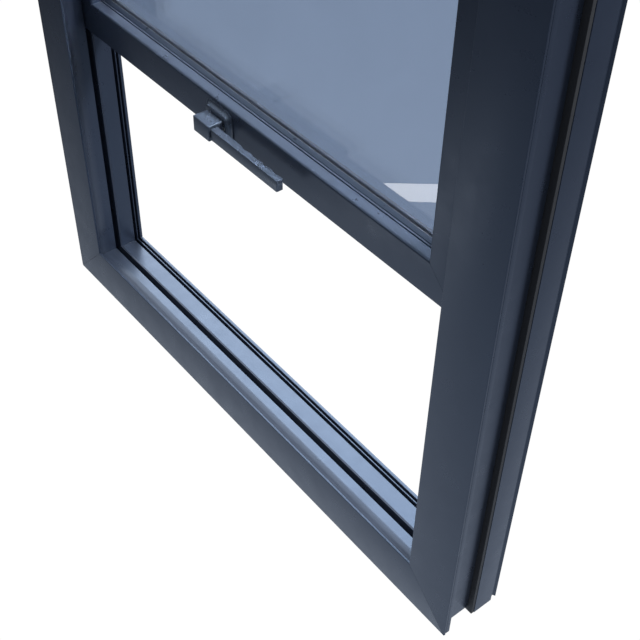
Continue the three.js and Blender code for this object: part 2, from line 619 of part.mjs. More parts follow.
const spindleHalf = SPINDLE / 2;
const hubSolid = toSolid(chamferedPlate(hubShape, hubFront, HUB.depth, HUB.chamfer))
  .add(toSolid(tenonBox(0)))
  .subtract(toSolid(box(
    -spindleHalf - GAP, hubRear - SOCKET_DEPTH, -spindleHalf - GAP,
    spindleHalf + GAP, hubRear + 1, spindleHalf + GAP,
  )));
add('lever_hub', atPivot(toGeometry(hubSolid)), ANTHRACITE);

// Seen from above: a straight bar with hollows for the fingers along the edge next to the rail.
function leverArm() {
  const start = hubEdge + LEVER_NECK;
  const end = LEVER_LENGTH;
  const rear = LEVER_THICKNESS;
  const wavesFrom = end - 3 - FINGER_WAVES * FINGER_PITCH;
  const shape = new THREE.Shape();
  shape.moveTo(start, 0);
  shape.lineTo(end, 0);
  shape.lineTo(end, rear - 0.8);
  for (let wave = FINGER_WAVES; wave > 0; wave -= 1) {
    const x = wavesFrom + wave * FINGER_PITCH;
    shape.quadraticCurveTo(
      x - FINGER_PITCH / 2, rear - 2 * FINGER_DEPTH, x - FINGER_PITCH + 1.5, rear,
    );
    if (wave > 1) shape.lineTo(x - FINGER_PITCH, rear);
  }
  shape.lineTo(start, rear);
  const bar = new THREE.ExtrudeGeometry(shape, {
    depth: LEVER_HEIGHT - 1.2, bevelThickness: 0.6, bevelSize: 0.6, bevelOffset: -0.6,
    bevelSegments: 1, curveSegments: 6,
  });
  return cut(bar.translate(0, leverFront, -LEVER_HEIGHT / 2 + 0.6), [tenonBox(GAP)]);
}

add('lever_arm', atPivot(leverArm()), ANTHRACITE);

const pinionRear = driveRear;
add('spindle', atPivot(box(
  -spindleHalf, hubRear - SOCKET_DEPTH + GAP, -spindleHalf,
  spindleHalf, pinionRear, spindleHalf,
)), STEEL);

const bore = spindleHalf + GAP;
const pinionBlank = rod(PINION_RADIUS, RACK.depth, 28).translate(0, shoeMid, 0);
add('drive_pinion', atPivot(cut(pinionBlank, [
  box(-bore, driveDepth - 1, -bore, bore, driveRear + 1, bore),
])), STEEL);

// A block in the rail's front chamber: it takes the screws and houses the pinion. The right rod
// runs through it and the left rod under it.
const housingLow = rackRise.left + RACK.height / 2 + GAP;
const housing = box(
  LEVER_PIVOT_X - HOUSING_WIDTH / 2, driveDepth - GAP, housingLow,
  LEVER_PIVOT_X + HOUSING_WIDTH / 2, driveRear + 3.2, RAISED + SASH_FACE - WALL - 1,
);
const guideHalf = HOUSING_WIDTH / 2 + 1;
const tongueClearance = box(
  LEVER_PIVOT_X - guideHalf, sashFront + GUIDE_THICKNESS - WALL - GAP, housingLow - 1,
  LEVER_PIVOT_X + guideHalf, driveRear + 9, RAISED + GUIDE_REACH + WALL + GAP,
);
add('drive_housing', cut(housing, [
  tongueClearance,
  atPivot(rod(PINION_RADIUS + DRIVE_CLEARANCE, RACK.depth + 2, 28).translate(0, shoeMid - 1, 0)),
  rodTunnel(LEVER_PIVOT_X - guideHalf, LEVER_PIVOT_X + guideHalf, rackRise.right),
  ...screwSides.map((side) => atPivot(rod(screwBore, 30, 12).translate(0, driveDepth, 0), screwX(side))),
]), CAST_ZINC);

// Rods and shoes: the left rod lies under the pinion and the right one over it.
function driveRod(x0, x1, z) {
  return box(x0, driveDepth, z - RACK.height / 2, x1, driveRear, z + RACK.height / 2);
}

const rackStart = PINION_RADIUS + 8;
add('left_drive_rod', driveRod(
  trackLeft + GAP + SHOE.length + GAP, LEVER_PIVOT_X + rackStart, rackRise.left,
), STEEL);
add('right_drive_rod', driveRod(
  LEVER_PIVOT_X - rackStart, trackRight - GAP - SHOE.length - GAP, rackRise.right,
), STEEL);

function shoe(x0, z) {
  const [high, deep] = [SHOE.height / 2, SHOE.depth / 2];
  return box(x0, shoeMid - deep, z - high, x0 + SHOE.length, shoeMid + deep, z + high);
}

add('left_brake_shoe', shoe(trackLeft + GAP, shoeRise.left), NYLON);
add('right_brake_shoe', shoe(trackRight - GAP - SHOE.length, shoeRise.right), NYLON);

export default group;
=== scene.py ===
"""Looks of a vertical-lift aluminium window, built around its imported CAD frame.

The frame is three layers of mitred extrusion, the sash slides up its inside and a lever with
finger grips clamps it. Lengths are in metres. X runs to the right seen from the room, -Y is the
room side and Z is up. A section is drawn as (offset, depth): offset runs from a bar's outer edge
in towards the opening, and depth from the frame's room face towards the weather.
"""
import sys
import logging
import math
from dataclasses import dataclass, field
from enum import Enum
from typing import Callable, Optional, Sequence

import bpy
from mathutils import Matrix, Vector


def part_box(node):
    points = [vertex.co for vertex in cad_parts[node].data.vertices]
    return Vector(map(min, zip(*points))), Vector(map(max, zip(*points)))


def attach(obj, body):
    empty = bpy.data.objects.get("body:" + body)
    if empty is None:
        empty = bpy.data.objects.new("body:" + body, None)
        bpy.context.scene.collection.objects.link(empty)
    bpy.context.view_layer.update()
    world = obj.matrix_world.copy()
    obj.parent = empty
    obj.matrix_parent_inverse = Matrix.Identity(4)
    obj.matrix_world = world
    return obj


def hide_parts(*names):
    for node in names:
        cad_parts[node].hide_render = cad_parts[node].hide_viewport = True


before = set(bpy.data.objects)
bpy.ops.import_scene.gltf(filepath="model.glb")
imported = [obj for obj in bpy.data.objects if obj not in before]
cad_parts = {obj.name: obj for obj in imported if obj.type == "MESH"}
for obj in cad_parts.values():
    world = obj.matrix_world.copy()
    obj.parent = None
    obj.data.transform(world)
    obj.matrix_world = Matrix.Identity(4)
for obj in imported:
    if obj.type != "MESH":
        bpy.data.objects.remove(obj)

LOG = logging.getLogger("window")
MM = 0.001
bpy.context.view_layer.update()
ROOM_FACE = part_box("sill_inner_profile")[0].y
SAME_SPOT = 2e-6
WELD = 1e-6
STRAIGHT = math.radians(170)
MOST_OF_A_SIDE = 0.49
Point = tuple[float, float]
Span = tuple[float, float]
Corner = tuple[float, float, float]


class Side(Enum):
    """A side of a mitred ring, with the turn about Y that brings a bottom bar to it."""

    BOTTOM = 0.0
    RIGHT = -math.pi / 2
    TOP = math.pi
    LEFT = math.pi / 2


SIDE_NAMES = {Side.BOTTOM: "bottom", Side.RIGHT: "right", Side.TOP: "top", Side.LEFT: "left"}
FRAME_BARS = {
    Side.BOTTOM: "sill", Side.RIGHT: "right_jamb", Side.TOP: "head", Side.LEFT: "left_jamb",
}
CORNERS = ("bottom_left", "bottom_right", "top_right", "top_left")


# ---------------------------------------------------------------- bench work with operators


def deselect() -> None:
    """Leaves object mode with nothing selected."""
    if bpy.context.object and bpy.context.object.mode != "OBJECT":
        bpy.ops.object.mode_set(mode="OBJECT")
    bpy.ops.object.select_all(action="DESELECT")


def pick(piece: bpy.types.Object) -> bpy.types.Object:
    """Makes a piece the only selected and active one, and returns it."""
    deselect()
    piece.select_set(True)
    bpy.context.view_layer.objects.active = piece
    return piece


def settle(piece: bpy.types.Object) -> None:
    """Applies a piece's place, turn and size to its mesh."""
    pick(piece)
    bpy.ops.object.transform_apply(location=True, rotation=True, scale=True)


def blank(name: str) -> bpy.types.Object:
    """Adds an object with an empty mesh and leaves it in edit mode.

    Args:
        name: The object's name.

    Returns:
        The object.
    """
    deselect()
    bpy.ops.mesh.primitive_plane_add(size=1)
    piece = bpy.context.object
    piece.name = piece.data.name = name
    bpy.ops.object.mode_set(mode="EDIT")
    bpy.ops.mesh.delete(type="VERT")
    return piece


def face_outwards() -> None:
    """Turns the whole mesh in edit mode right side out, and leaves edit mode."""
    bpy.ops.mesh.select_all(action="SELECT")
    bpy.ops.mesh.normals_make_consistent(inside=False)
    bpy.ops.object.mode_set(mode="OBJECT")


def choose(piece: bpy.types.Object, kind: str, test: Callable[[Vector, Vector], bool]) -> None:
    """Selects part of a mesh in edit mode by where it is or which way it faces.

    Args:
        piece: The mesh object, in edit mode.
        kind: "VERT", "EDGE" or "FACE".
        test: Given the middle and the normal of an element, says whether it is wanted.
    """
    bpy.ops.mesh.select_mode(type=kind)
    bpy.ops.mesh.select_all(action="DESELECT")
    bpy.ops.object.mode_set(mode="OBJECT")
    mesh = piece.data
    if kind == "FACE":
        for face in mesh.polygons:
            face.select = test(face.center, face.normal)
    elif kind == "EDGE":
        for edge in mesh.edges:
            ends = [mesh.vertices[i].co for i in edge.vertices]
            edge.select = test((ends[0] + ends[1]) / 2, (ends[1] - ends[0]).normalized())
    else:
        for vertex in mesh.vertices:
            vertex.select = test(vertex.co, vertex.normal)
    bpy.ops.object.mode_set(mode="EDIT")


def modify(piece: bpy.types.Object, kind: str, **settings: object) -> None:
    """Adds a modifier with the given settings and applies it."""
    pick(piece)
    modifier = piece.modifiers.new(kind.title(), kind)
    for name, value in settings.items():
        setattr(modifier, name, value)
    bpy.ops.object.modifier_apply(modifier=modifier.name)


def round_edges(piece: bpy.types.Object, width: float, segments: int = 2,
                angle: float = 35) -> None:
    """Rounds a piece's edges that are sharper than an angle in degrees."""
    modify(
        piece, "BEVEL", width=width, segments=segments, limit_method="ANGLE",
        angle_limit=math.radians(angle), harden_normals=False,
    )


def smooth(piece: bpy.types.Object, angle: float = 32) -> bpy.types.Object:
    """Shades a piece smooth up to an angle in degrees, and returns it."""
    pick(piece)
    bpy.ops.object.shade_smooth_by_angle(angle=math.radians(angle))
    return piece


def block(name: str, low: Sequence[float], high: Sequence[float]) -> bpy.types.Object:
    """Adds a box between two corners, with its place in its mesh.

    Args:
        name: The box's name.
        low: Its low corner.
        high: Its high corner.

    Returns:
        The box.
    """
    deselect()
    low, high = Vector(low), Vector(high)
    bpy.ops.mesh.primitive_cube_add(size=1, location=(low + high) / 2)
    piece = bpy.context.object
    piece.name = piece.data.name = name
    piece.scale = high - low
    settle(piece)
    return piece


def trace(piece: bpy.types.Object, points: Sequence[Vector]) -> None:
    """Draws a closed wire in a piece's mesh by pulling one vertex round its corners.

    Args:
        piece: The mesh object, in edit mode.
        points: The wire's corners in order.
    """
    bpy.ops.mesh.select_mode(type="VERT")
    bpy.ops.mesh.select_all(action="DESELECT")
    bpy.ops.mesh.primitive_plane_add(size=1, location=points[0])
    bpy.ops.mesh.merge(type="CENTER")
    for here, there in zip(points, points[1:]):
        bpy.ops.mesh.extrude_vertices_move(TRANSFORM_OT_translate={"value": there - here})
    bpy.ops.mesh.select_all(action="DESELECT")
    ends = (points[0], points[-1])
    choose(piece, "VERT", lambda co, _: min((co - end).length for end in ends) < SAME_SPOT)
    bpy.ops.mesh.edge_face_add()


def rounded(corners: Sequence[Corner], steps: int = 3) -> list[Point]:
    """Turns corners into an outline with each one rounded by its own radius.

    Args:
        corners: (x, y, radius) in millimetres, in order round the outline.
        steps: Chords in each round.

    Returns:
        The outline's points in millimetres.
    """
    points: list[Point] = []
    count = len(corners)
    for i, (x, y, radius) in enumerate(corners):
        here = Vector((x, y))
        back = Vector(corners[i - 1][:2]) - here
        ahead = Vector(corners[(i + 1) % count][:2]) - here
        turn = back.angle(ahead)
        if radius <= 0 or turn > STRAIGHT:
            points.append((x, y))
            continue
        reach = min(
            radius / math.tan(turn / 2),
            back.length * MOST_OF_A_SIDE, ahead.length * MOST_OF_A_SIDE,
        )
        start, end = here + back.normalized() * reach, here + ahead.normalized() * reach
        for step in range(steps + 1):
            t = step / steps
            p = start * (1 - t) ** 2 + here * (2 * t * (1 - t)) + end * t ** 2
            points.append((p.x, p.y))
    return points


def cut(piece: bpy.types.Object, *cutters: bpy.types.Object) -> None:
    """Cuts pieces out of another one and throws the cutters away."""
    for cutter in cutters:
        modify(piece, "BOOLEAN", operation="DIFFERENCE", solver="EXACT", object=cutter)
        mesh = cutter.data
        bpy.data.objects.remove(cutter)
        bpy.data.meshes.remove(mesh)


def grown(node: str, by: float, low: Sequence[float] = (0, 0, 0),
          high: Sequence[float] = (0, 0, 0)) -> bpy.types.Object:
    """Makes a cutter as large as a CAD node's box, with clearance and extra reach.

    Args:
        node: The CAD node.
        by: Clearance all round.
        low: Extra reach past the low corner.
        high: Extra reach past the high corner.

    Returns:
        The cutter.
    """
    start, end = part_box(node)
    clear = Vector((by, by, by))
    return block("cutter", start - clear - Vector(low), end + clear + Vector(high))


def drill(centre: Vector, radius: float, depth: float, sides: int = 32) -> bpy.types.Object:
    """Makes a round cutter whose axis lies along Y.

    Args:
        centre: The middle of its axis.
        radius: Its radius.
        depth: Its length.
        sides: How many flats go round it.

    Returns:
        The cutter.
    """
    deselect()
    bpy.ops.mesh.primitive_cylinder_add(
        vertices=sides, radius=radius, depth=depth, location=centre, rotation=(math.pi / 2, 0, 0),
    )
    cutter = bpy.context.object
    settle(cutter)
    return cutter


# ---------------------------------------------------------------- extruded bars


@dataclass
class Section:
    """The section of an extruded bar: an outline and its hollow chambers, in millimetres."""

    outline: list[Point]
    chambers: list[list[Point]] = field(default_factory=list)

    def drawn(self, name: str) -> bpy.types.Object:
        """Draws the section as closed wires in the plane across a bar.

        Args:
            name: Name of the drawing's object.

        Returns:
            A mesh object of wires, offset along Z and depth along Y.
        """
        drawing = blank(name)
        for loop in [self.outline, *self.chambers]:
            trace(drawing, [
                Vector((0, ROOM_FACE + depth * MM, offset * MM)) for offset, depth in loop
            ])
        bpy.ops.object.mode_set(mode="OBJECT")
        return drawing


def copied(source: bpy.types.Object, name: str) -> bpy.types.Object:
    """Copies a piece with its own mesh."""
    pick(source)
    bpy.ops.object.duplicate(linked=False)
    piece = bpy.context.object
    piece.name = piece.data.name = name
    return piece


def cap_end(piece: bpy.types.Object, towards: int) -> None:
    """Closes a bar's open end with a flat face round its chambers.

    Args:
        piece: The bar, in edit mode.
        towards: -1 for the end at low X, 1 for the end at high X.
    """
    bpy.ops.mesh.select_mode(type="EDGE")
    bpy.ops.mesh.select_all(action="DESELECT")
    bpy.ops.mesh.select_non_manifold(
        extend=False, use_wire=False, use_boundary=True, use_multi_face=False,
        use_non_contiguous=False, use_verts=False,
    )
    bpy.ops.object.mode_set(mode="OBJECT")
    mesh = piece.data
    for edge in mesh.edges:
        middle = sum(mesh.vertices[i].co.x for i in edge.vertices) / 2
        if middle * towards < 0:
            edge.select = False
    for vertex in mesh.vertices:
        vertex.select = False
    for edge in mesh.edges:
        if edge.select:
            for i in edge.vertices:
                mesh.vertices[i].select = True
    bpy.ops.object.mode_set(mode="EDIT")
    bpy.ops.mesh.fill(use_beauty=True)


def bar(drawing: bpy.types.Object, name: str, length: float, mitred: bool = True,
        gap: float = 0.15 * MM, capped: bool = True) -> bpy.types.Object:
    """Pulls a section out into a bar along X, centred on X = 0, and closes its ends.

    Args:
        drawing: The section's wires.
        name: The bar's name.
        length: Its longest length, along its outer edge.
        mitred: Whether the ends are cut at 45 degrees, or square.
        gap: Clearance left at each end's joint.
        capped: Whether the ends are closed.

    Returns:
        The bar.
    """
    piece = copied(drawing, name)
    bpy.ops.object.mode_set(mode="EDIT")
    bpy.ops.mesh.select_all(action="SELECT")
    half = length / 2
    bpy.ops.transform.translate(value=(-half, 0, 0))
    bpy.ops.mesh.extrude_region_move(TRANSFORM_OT_translate={"value": (length, 0, 0)})
    if mitred:
        for side in (-1, 1):
            bpy.ops.mesh.select_all(action="SELECT")
            normal = Vector((side, 0, 1)).normalized()
            point = Vector((side * half, 0, 0)) - normal * gap
            bpy.ops.mesh.bisect(
                plane_co=point, plane_no=normal, clear_outer=True, use_fill=False, threshold=WELD,
            )
    for side in (-1, 1) if capped else ():
        cap_end(piece, side)
    face_outwards()
    return piece


def square_bar(section: Section, name: str, length: float) -> bpy.types.Object:
    """Pulls a section out into a bar with square ends.

    Args:
        section: The section.
        name: The bar's name.
        length: Its length.

    Returns:
        The bar.
    """
    drawing = section.drawn("section")
    piece = bar(drawing, name, length, mitred=False)
    bpy.data.objects.remove(drawing)
    return piece


@dataclass
class Ring:
    """A rectangle of four mitred bars: its middle, lower edge, width and height."""

    centre_x: float
    base_z: float
    width: float
    height: float

    def build(self, section: Section, names: dict[Side, str]) -> dict[Side, bpy.types.Object]:
        """Pulls out the four bars and stands them in place.

        Args:
            section: The section that all four share.
            names: A name for each bar.

        Returns:
            The bars by their side.
        """
        bars = self._bars(section, names)
        return {side: smooth(piece) for side, piece in bars.items()}

    def _bars(self, section: Section, names: dict[Side, str],
              **ends: object) -> dict[Side, bpy.types.Object]:
        """Pulls out the four bars and stands them in place.

        Args:
            section: The section that all four share.
            names: A name for each bar.
            ends: How each bar's ends are made, as in bar.

        Returns:
            The bars by their side.
        """
        drawing = section.drawn("section")
        bars = {}
        for side in Side:
            level = side in (Side.BOTTOM, Side.TOP)
            piece = bar(drawing, names[side], self.width if level else self.height, **ends)
            piece.rotation_euler = (0, side.value, 0)
            piece.location = self._foot(side)
            settle(piece)
            bars[side] = piece
        bpy.data.objects.remove(drawing)
        return bars

    def _foot(self, side: Side) -> Vector:
        """Returns the middle of a side's outer edge."""
        along = {Side.RIGHT: self.width / 2, Side.LEFT: -self.width / 2}.get(side, 0)
        up = {Side.BOTTOM: 0, Side.TOP: self.height}.get(side, self.height / 2)
        return Vector((self.centre_x + along, 0, self.base_z + up))

    def build_loop(self, section: Section, name: str) -> bpy.types.Object:
        """Pulls out four bars and welds them at their mitres into one closed ring.

        Args:
            section: The section, with no chambers.
            name: The ring's name.

        Returns:
            The ring.
        """
        bars = list(self._bars(section, dict.fromkeys(Side, name), gap=0, capped=False).values())
        deselect()
        for piece in bars:
            piece.select_set(True)
        bpy.context.view_layer.objects.active = bars[0]
        bpy.ops.object.join()
        bpy.ops.object.mode_set(mode="EDIT")
        bpy.ops.mesh.select_all(action="SELECT")
        bpy.ops.mesh.remove_doubles(threshold=0.01 * MM)
        face_outwards()
        return smooth(bpy.context.object)


def slab(name: str, low: Sequence[float], high: Sequence[float], arris: float) -> bpy.types.Object:
    """Makes a flat pane or plate in X and Z with its edges taken off.

    Args:
        name: The piece's name.
        low: Its low corner.
        high: Its high corner.
        arris: Width of the flat ground along each edge.

    Returns:
        The piece.
    """
    deselect()
    low, high = Vector(low), Vector(high)
    middle = (low + high) / 2
    bpy.ops.mesh.primitive_plane_add(
        size=1, location=(middle.x, low.y, middle.z), rotation=(math.pi / 2, 0, 0),
    )
    piece = bpy.context.object
    piece.name = piece.data.name = name
    piece.scale = (high.x - low.x, high.z - low.z, 1)
    settle(piece)
    bpy.ops.object.mode_set(mode="EDIT")
    bpy.ops.mesh.select_all(action="SELECT")
    bpy.ops.mesh.extrude_region_move(TRANSFORM_OT_translate={"value": (0, high.y - low.y, 0)})
    face_outwards()
    round_edges(piece, arris, segments=1)
    return piece


def plan(name: str, points: Sequence[Vector], pull: Vector) -> bpy.types.Object:
    """Fills a closed outline and pulls it into a solid.

    Args:
        name: The piece's name.
        points: The outline's corners in order, in one plane.
        pull: How far and which way the outline is pulled.

    Returns:
        The solid.
    """
    piece = blank(name)
    trace(piece, points)
    bpy.ops.mesh.select_all(action="SELECT")
    bpy.ops.mesh.edge_face_add()
    bpy.ops.mesh.extrude_region_move(TRANSFORM_OT_translate={"value": pull})
    face_outwards()
    return piece


# ---------------------------------------------------------------- finishes


def place_node(tree: bpy.types.NodeTree, kind: str, inputs: Optional[dict] = None,
               **settings: object) -> bpy.types.Node:
    """Adds a node, sets it, and fills or links its inputs.

    Args:
        tree: The node tree.
        kind: The node's type name.
        inputs: Values or output sockets by input name or number.
        settings: The node's own properties.

    Returns:
        The node.
    """
    made = tree.nodes.new(kind)
    for name, value in settings.items():
        setattr(made, name, value)
    for name, value in (inputs or {}).items():
        if isinstance(value, bpy.types.NodeSocket):
            tree.links.new(value, made.inputs[name])
        else:
            made.inputs[name].default_value = value
    return made


def place_maths(tree: bpy.types.NodeTree, operation: str, *values: object) -> bpy.types.NodeSocket:
    """Adds a maths node and returns its result."""
    made = place_node(tree, "ShaderNodeMath", dict(enumerate(values)), operation=operation)
    return made.outputs[0]


def place_mix(tree: bpy.types.NodeTree, share: object, first: object,
              second: object) -> bpy.types.NodeSocket:
    """Adds a colour mix and returns its result."""
    made = place_node(tree, "ShaderNodeMix", {0: share, 6: first, 7: second}, data_type="RGBA")
    return made.outputs[2]


def place_noise(tree: bpy.types.NodeTree, where: bpy.types.NodeSocket, scale: object,
                detail: float, roughness: float = 0.5,
                distortion: float = 0.0) -> bpy.types.NodeSocket:
    """Adds a noise texture and returns its value."""
    return place_node(tree, "ShaderNodeTexNoise", {
        "Vector": where, "Scale": scale, "Detail": detail, "Roughness": roughness,
        "Distortion": distortion,
    }).outputs["Fac"]


def place_range(tree: bpy.types.NodeTree, value: bpy.types.NodeSocket, taken: Span,
                given: Span = (0.0, 1.0), **settings: object) -> bpy.types.NodeSocket:
    """Adds a node that maps one range of a value onto another, and returns its result."""
    return place_node(tree, "ShaderNodeMapRange", {
        "Value": value, "From Min": taken[0], "From Max": taken[1],
        "To Min": given[0], "To Max": given[1],
    }, **settings).outputs[0]


def bare_material(name: str) -> bpy.types.Material:
    """Makes a material that holds only its output, and returns it."""
    made = bpy.data.materials.new(name)
    made.use_nodes = True
    made.node_tree.nodes.remove(made.node_tree.nodes["Principled BSDF"])
    return made


def new_group(name: str, takes: dict[str, tuple[str, object]], gives: dict[str, str]) -> tuple:
    """Starts a node group with its sockets.

    Args:
        name: The group's name.
        takes: Each input's kind and default, by name.
        gives: Each output's kind, by name.

    Returns:
        The group, its input node and its output node.
    """
    group = bpy.data.node_groups.new(name, "ShaderNodeTree")
    for socket, (kind, value) in takes.items():
        made = group.interface.new_socket(socket, in_out="INPUT", socket_type=f"NodeSocket{kind}")
        made.default_value = value
    for socket, kind in gives.items():
        group.interface.new_socket(socket, in_out="OUTPUT", socket_type=f"NodeSocket{kind}")
    return group, group.nodes.new("NodeGroupInput"), group.nodes.new("NodeGroupOutput")


@dataclass
class Effects:
    """Effects that several finishes share, as node groups built once."""

    grain: bpy.types.NodeTree = field(init=False)
    wear_and_highlight: bpy.types.NodeTree = field(init=False)
    dust: bpy.types.NodeTree = field(init=False)

    def __post_init__(self) -> None:
        """Builds the three groups."""
        self.grain = self._build_grain()
        self.wear_and_highlight = self._build_wear_and_highlight()
        self.dust = self._build_dust()

    def _build_grain(self) -> bpy.types.NodeTree:
        """Builds the fine skin of a coating: its ripple, its specks and slow changes of tone."""
        group, given, out = new_group(
            "coat_grain",
            {"Ripple Scale": ("Float", 700.0), "Speck Scale": ("Float", 2600.0),
             "Tone Scale": ("Float", 6.0), "Speck Share": ("Float", 0.4)},
            {"Height": "Float", "Tone": "Float", "Sheen": "Float"},
        )
        where = place_node(group, "ShaderNodeTexCoord").outputs["Object"]
        ripple = place_noise(group, where, given.outputs["Ripple Scale"], 2.0)
        speck = place_noise(group, where, given.outputs["Speck Scale"], 1.0)
        tone = place_noise(group, where, given.outputs["Tone Scale"], 5.0, 0.6)
        patches = place_noise(group, where, 38.0, 4.0, 0.65)
        height = place_node(group, "ShaderNodeMix", {
            0: given.outputs["Speck Share"], 2: ripple, 3: speck,
        })
        group.links.new(height.outputs[0], out.inputs["Height"])
        group.links.new(tone, out.inputs["Tone"])
        group.links.new(patches, out.inputs["Sheen"])
        return group

    def _build_wear_and_highlight(self) -> bpy.types.NodeTree:
        """Builds the mask of a piece's arrises, which are painted lighter: rubbed wear and a painted
        edge highlight.
        """
        group, given, out = new_group(
            "edge_wear_and_highlight",
            {"Reach": ("Float", 0.0008), "Patchiness": ("Float", 0.5), "Scale": ("Float", 60.0)},
            {"Mask": "Float"},
        )
        soft = place_node(group, "ShaderNodeBevel", {"Radius": given.outputs["Reach"]}, samples=4)
        flat = place_node(group, "ShaderNodeNewGeometry").outputs["True Normal"]
        facing = place_node(group, "ShaderNodeVectorMath", {0: soft.outputs[0], 1: flat},
                            operation="DOT_PRODUCT")
        edge = place_range(group, facing.outputs["Value"], (0.995, 0.88))
        where = place_node(group, "ShaderNodeTexCoord").outputs["Object"]
        patches = place_noise(group, where, given.outputs["Scale"], 5.0, 0.7)
        patchy = place_range(group, patches, (0.35, 0.65), (0.35, 1.0))
        share = place_node(group, "ShaderNodeMix", {
            0: given.outputs["Patchiness"], 2: 1.0, 3: patchy,
        })
        mask = place_maths(group, "MULTIPLY", edge, share.outputs[0])
        group.links.new(mask, out.inputs["Mask"])
        return group

    def _build_dust(self) -> bpy.types.NodeTree:
        """Builds the mask of the fine dust that settles on what faces up."""
        group, given, out = new_group(
            "settled_dust", {"Amount": ("Float", 0.3), "Scale": ("Float", 25.0)}, {"Mask": "Float"},
        )
        normal = place_node(group, "ShaderNodeNewGeometry").outputs["Normal"]
        up = place_node(group, "ShaderNodeSeparateXYZ", {0: normal}).outputs["Z"]
        level = place_range(group, up, (0.3, 1.0))
        where = place_node(group, "ShaderNodeTexCoord").outputs["Object"]
        cloud = place_noise(group, where, given.outputs["Scale"], 6.0, 0.7)
        drift = place_range(group, cloud, (0.3, 0.75), (0.3, 1.0))
        mask = place_maths(group, "MULTIPLY", level, drift)
        mask = place_maths(group, "MULTIPLY", mask, given.outputs["Amount"])
        group.links.new(mask, out.inputs["Mask"])
        return group


@dataclass(frozen=True)
class Finish:
    """A finish: its colours, gloss, skin, and its arrises painted lighter as wear and as a painted
    edge highlight.
    """

    slot: str
    colour: tuple[float, float, float]
    worn_and_highlight_colour: tuple[float, float, float]
    roughness: float = 0.4
    metallic: float = 0.0
    spread: float = 0.06
    tone: float = 0.25
    relief: float = 0.1
    relief_height: float = 0.00004
    ripple: float = 700.0
    speck: float = 2600.0
    speck_share: float = 0.4
    wear_and_highlight: float = 0.5
    wear_and_highlight_reach: float = 0.0008
    dust: float = 0.15
    dust_colour: tuple[float, float, float] = (0.30, 0.33, 0.38)
    dust_dulling: float = 0.25
    specular: float = 0.5
    gloss_tint: tuple[float, float, float] = (1.0, 1.0, 1.0)

    def material(self, effects: Effects) -> bpy.types.Material:
        """Makes the finish's material.

        Args:
            effects: The shared node groups.

        Returns:
            The material.
        """
        made = bpy.data.materials.new(self.slot)
        made.use_nodes = True
        tree = made.node_tree
        shader = tree.nodes["Principled BSDF"]
        skin = place_node(tree, "ShaderNodeGroup", node_tree=effects.grain)
        skin.inputs["Ripple Scale"].default_value = self.ripple
        skin.inputs["Speck Scale"].default_value = self.speck
        skin.inputs["Speck Share"].default_value = self.speck_share
        wear_highlight_node = place_node(tree, "ShaderNodeGroup", node_tree=effects.wear_and_highlight)
        wear_highlight_node.inputs["Reach"].default_value = self.wear_and_highlight_reach
        settled = place_node(tree, "ShaderNodeGroup", node_tree=effects.dust)
        settled.inputs["Amount"].default_value = self.dust

        dark = tuple(c * (1 - self.tone) for c in self.colour)
        light = tuple(c * (1 + self.tone) for c in self.colour)
        body = place_mix(tree, skin.outputs["Tone"], (*dark, 1), (*light, 1))
        # Arrises are mixed towards a lighter colour: rubbed wear and a painted edge highlight.
        wear_highlight_share = place_maths(tree, "MULTIPLY", wear_highlight_node.outputs["Mask"], self.wear_and_highlight)
        body = place_mix(tree, wear_highlight_share, body, (*self.worn_and_highlight_colour, 1))
        body = place_mix(tree, settled.outputs["Mask"], body, (*self.dust_colour, 1))
        tree.links.new(body, shader.inputs["Base Color"])

        gloss = place_range(
            tree, skin.outputs["Sheen"], (0.3, 0.7),
            (self.roughness - self.spread, self.roughness + self.spread),
        )
        duller = place_maths(tree, "MULTIPLY", settled.outputs["Mask"], self.dust_dulling)
        tree.links.new(place_maths(tree, "ADD", gloss, duller), shader.inputs["Roughness"])

        bump = place_node(tree, "ShaderNodeBump", {
            "Strength": self.relief, "Distance": self.relief_height,
            "Height": skin.outputs["Height"],
        })
        tree.links.new(bump.outputs[0], shader.inputs["Normal"])
        shader.inputs["Metallic"].default_value = self.metallic
        shader.inputs["Specular IOR Level"].default_value = self.specular
        shader.inputs["Specular Tint"].default_value = (*self.gloss_tint, 1)
        made.diffuse_color = (*self.colour, 1)
        return made


@dataclass(frozen=True)
class GlassFinish:
    """Float glass with a tint, faint smears and ground edges."""

    slot: str
    tint: tuple[float, float, float]
    roughness: float = 0.0
    ior: float = 1.5
    haze: float = 1.06

    def material(self, effects: Effects) -> bpy.types.Material:
        """Makes the glass.

        Args:
            effects: The shared node groups; not used.

        Returns:
            The material.
        """
        made = bpy.data.materials.new(self.slot)
        made.use_nodes = True
        tree = made.node_tree
        shader = tree.nodes["Principled BSDF"]
        shader.inputs["Transmission Weight"].default_value = 1.0
        shader.inputs["Metallic"].default_value = 0.0
        shader.inputs["IOR"].default_value = self.ior
        where = place_node(tree, "ShaderNodeTexCoord").outputs["Object"]
        smear = place_noise(tree, where, 7.0, 7.0, 0.62, distortion=1.2)
        shader.inputs["Roughness"].default_value = self.roughness
        hazy = tuple(min(1.0, c * self.haze) for c in self.tint)
        tone = place_mix(tree, smear, (*self.tint, 1), (*hazy, 1))
        tree.links.new(tone, shader.inputs["Base Color"])
        made.diffuse_color = (*self.tint, 1)
        return made


# The lighter arris colour in each finish stands for rubbed wear and a painted edge highlight.
POWDER_COAT = Finish(
    slot="powder_coat", colour=(0.015, 0.019, 0.030), worn_and_highlight_colour=(0.06, 0.073, 0.1), roughness=0.3,
    relief=0.02, wear_and_highlight=0.08, dust=0.04, gloss_tint=(0.52, 0.7, 1.0), specular=0.6, ripple=420.0,
    speck_share=0.15, spread=0.04, tone=0.15,
)
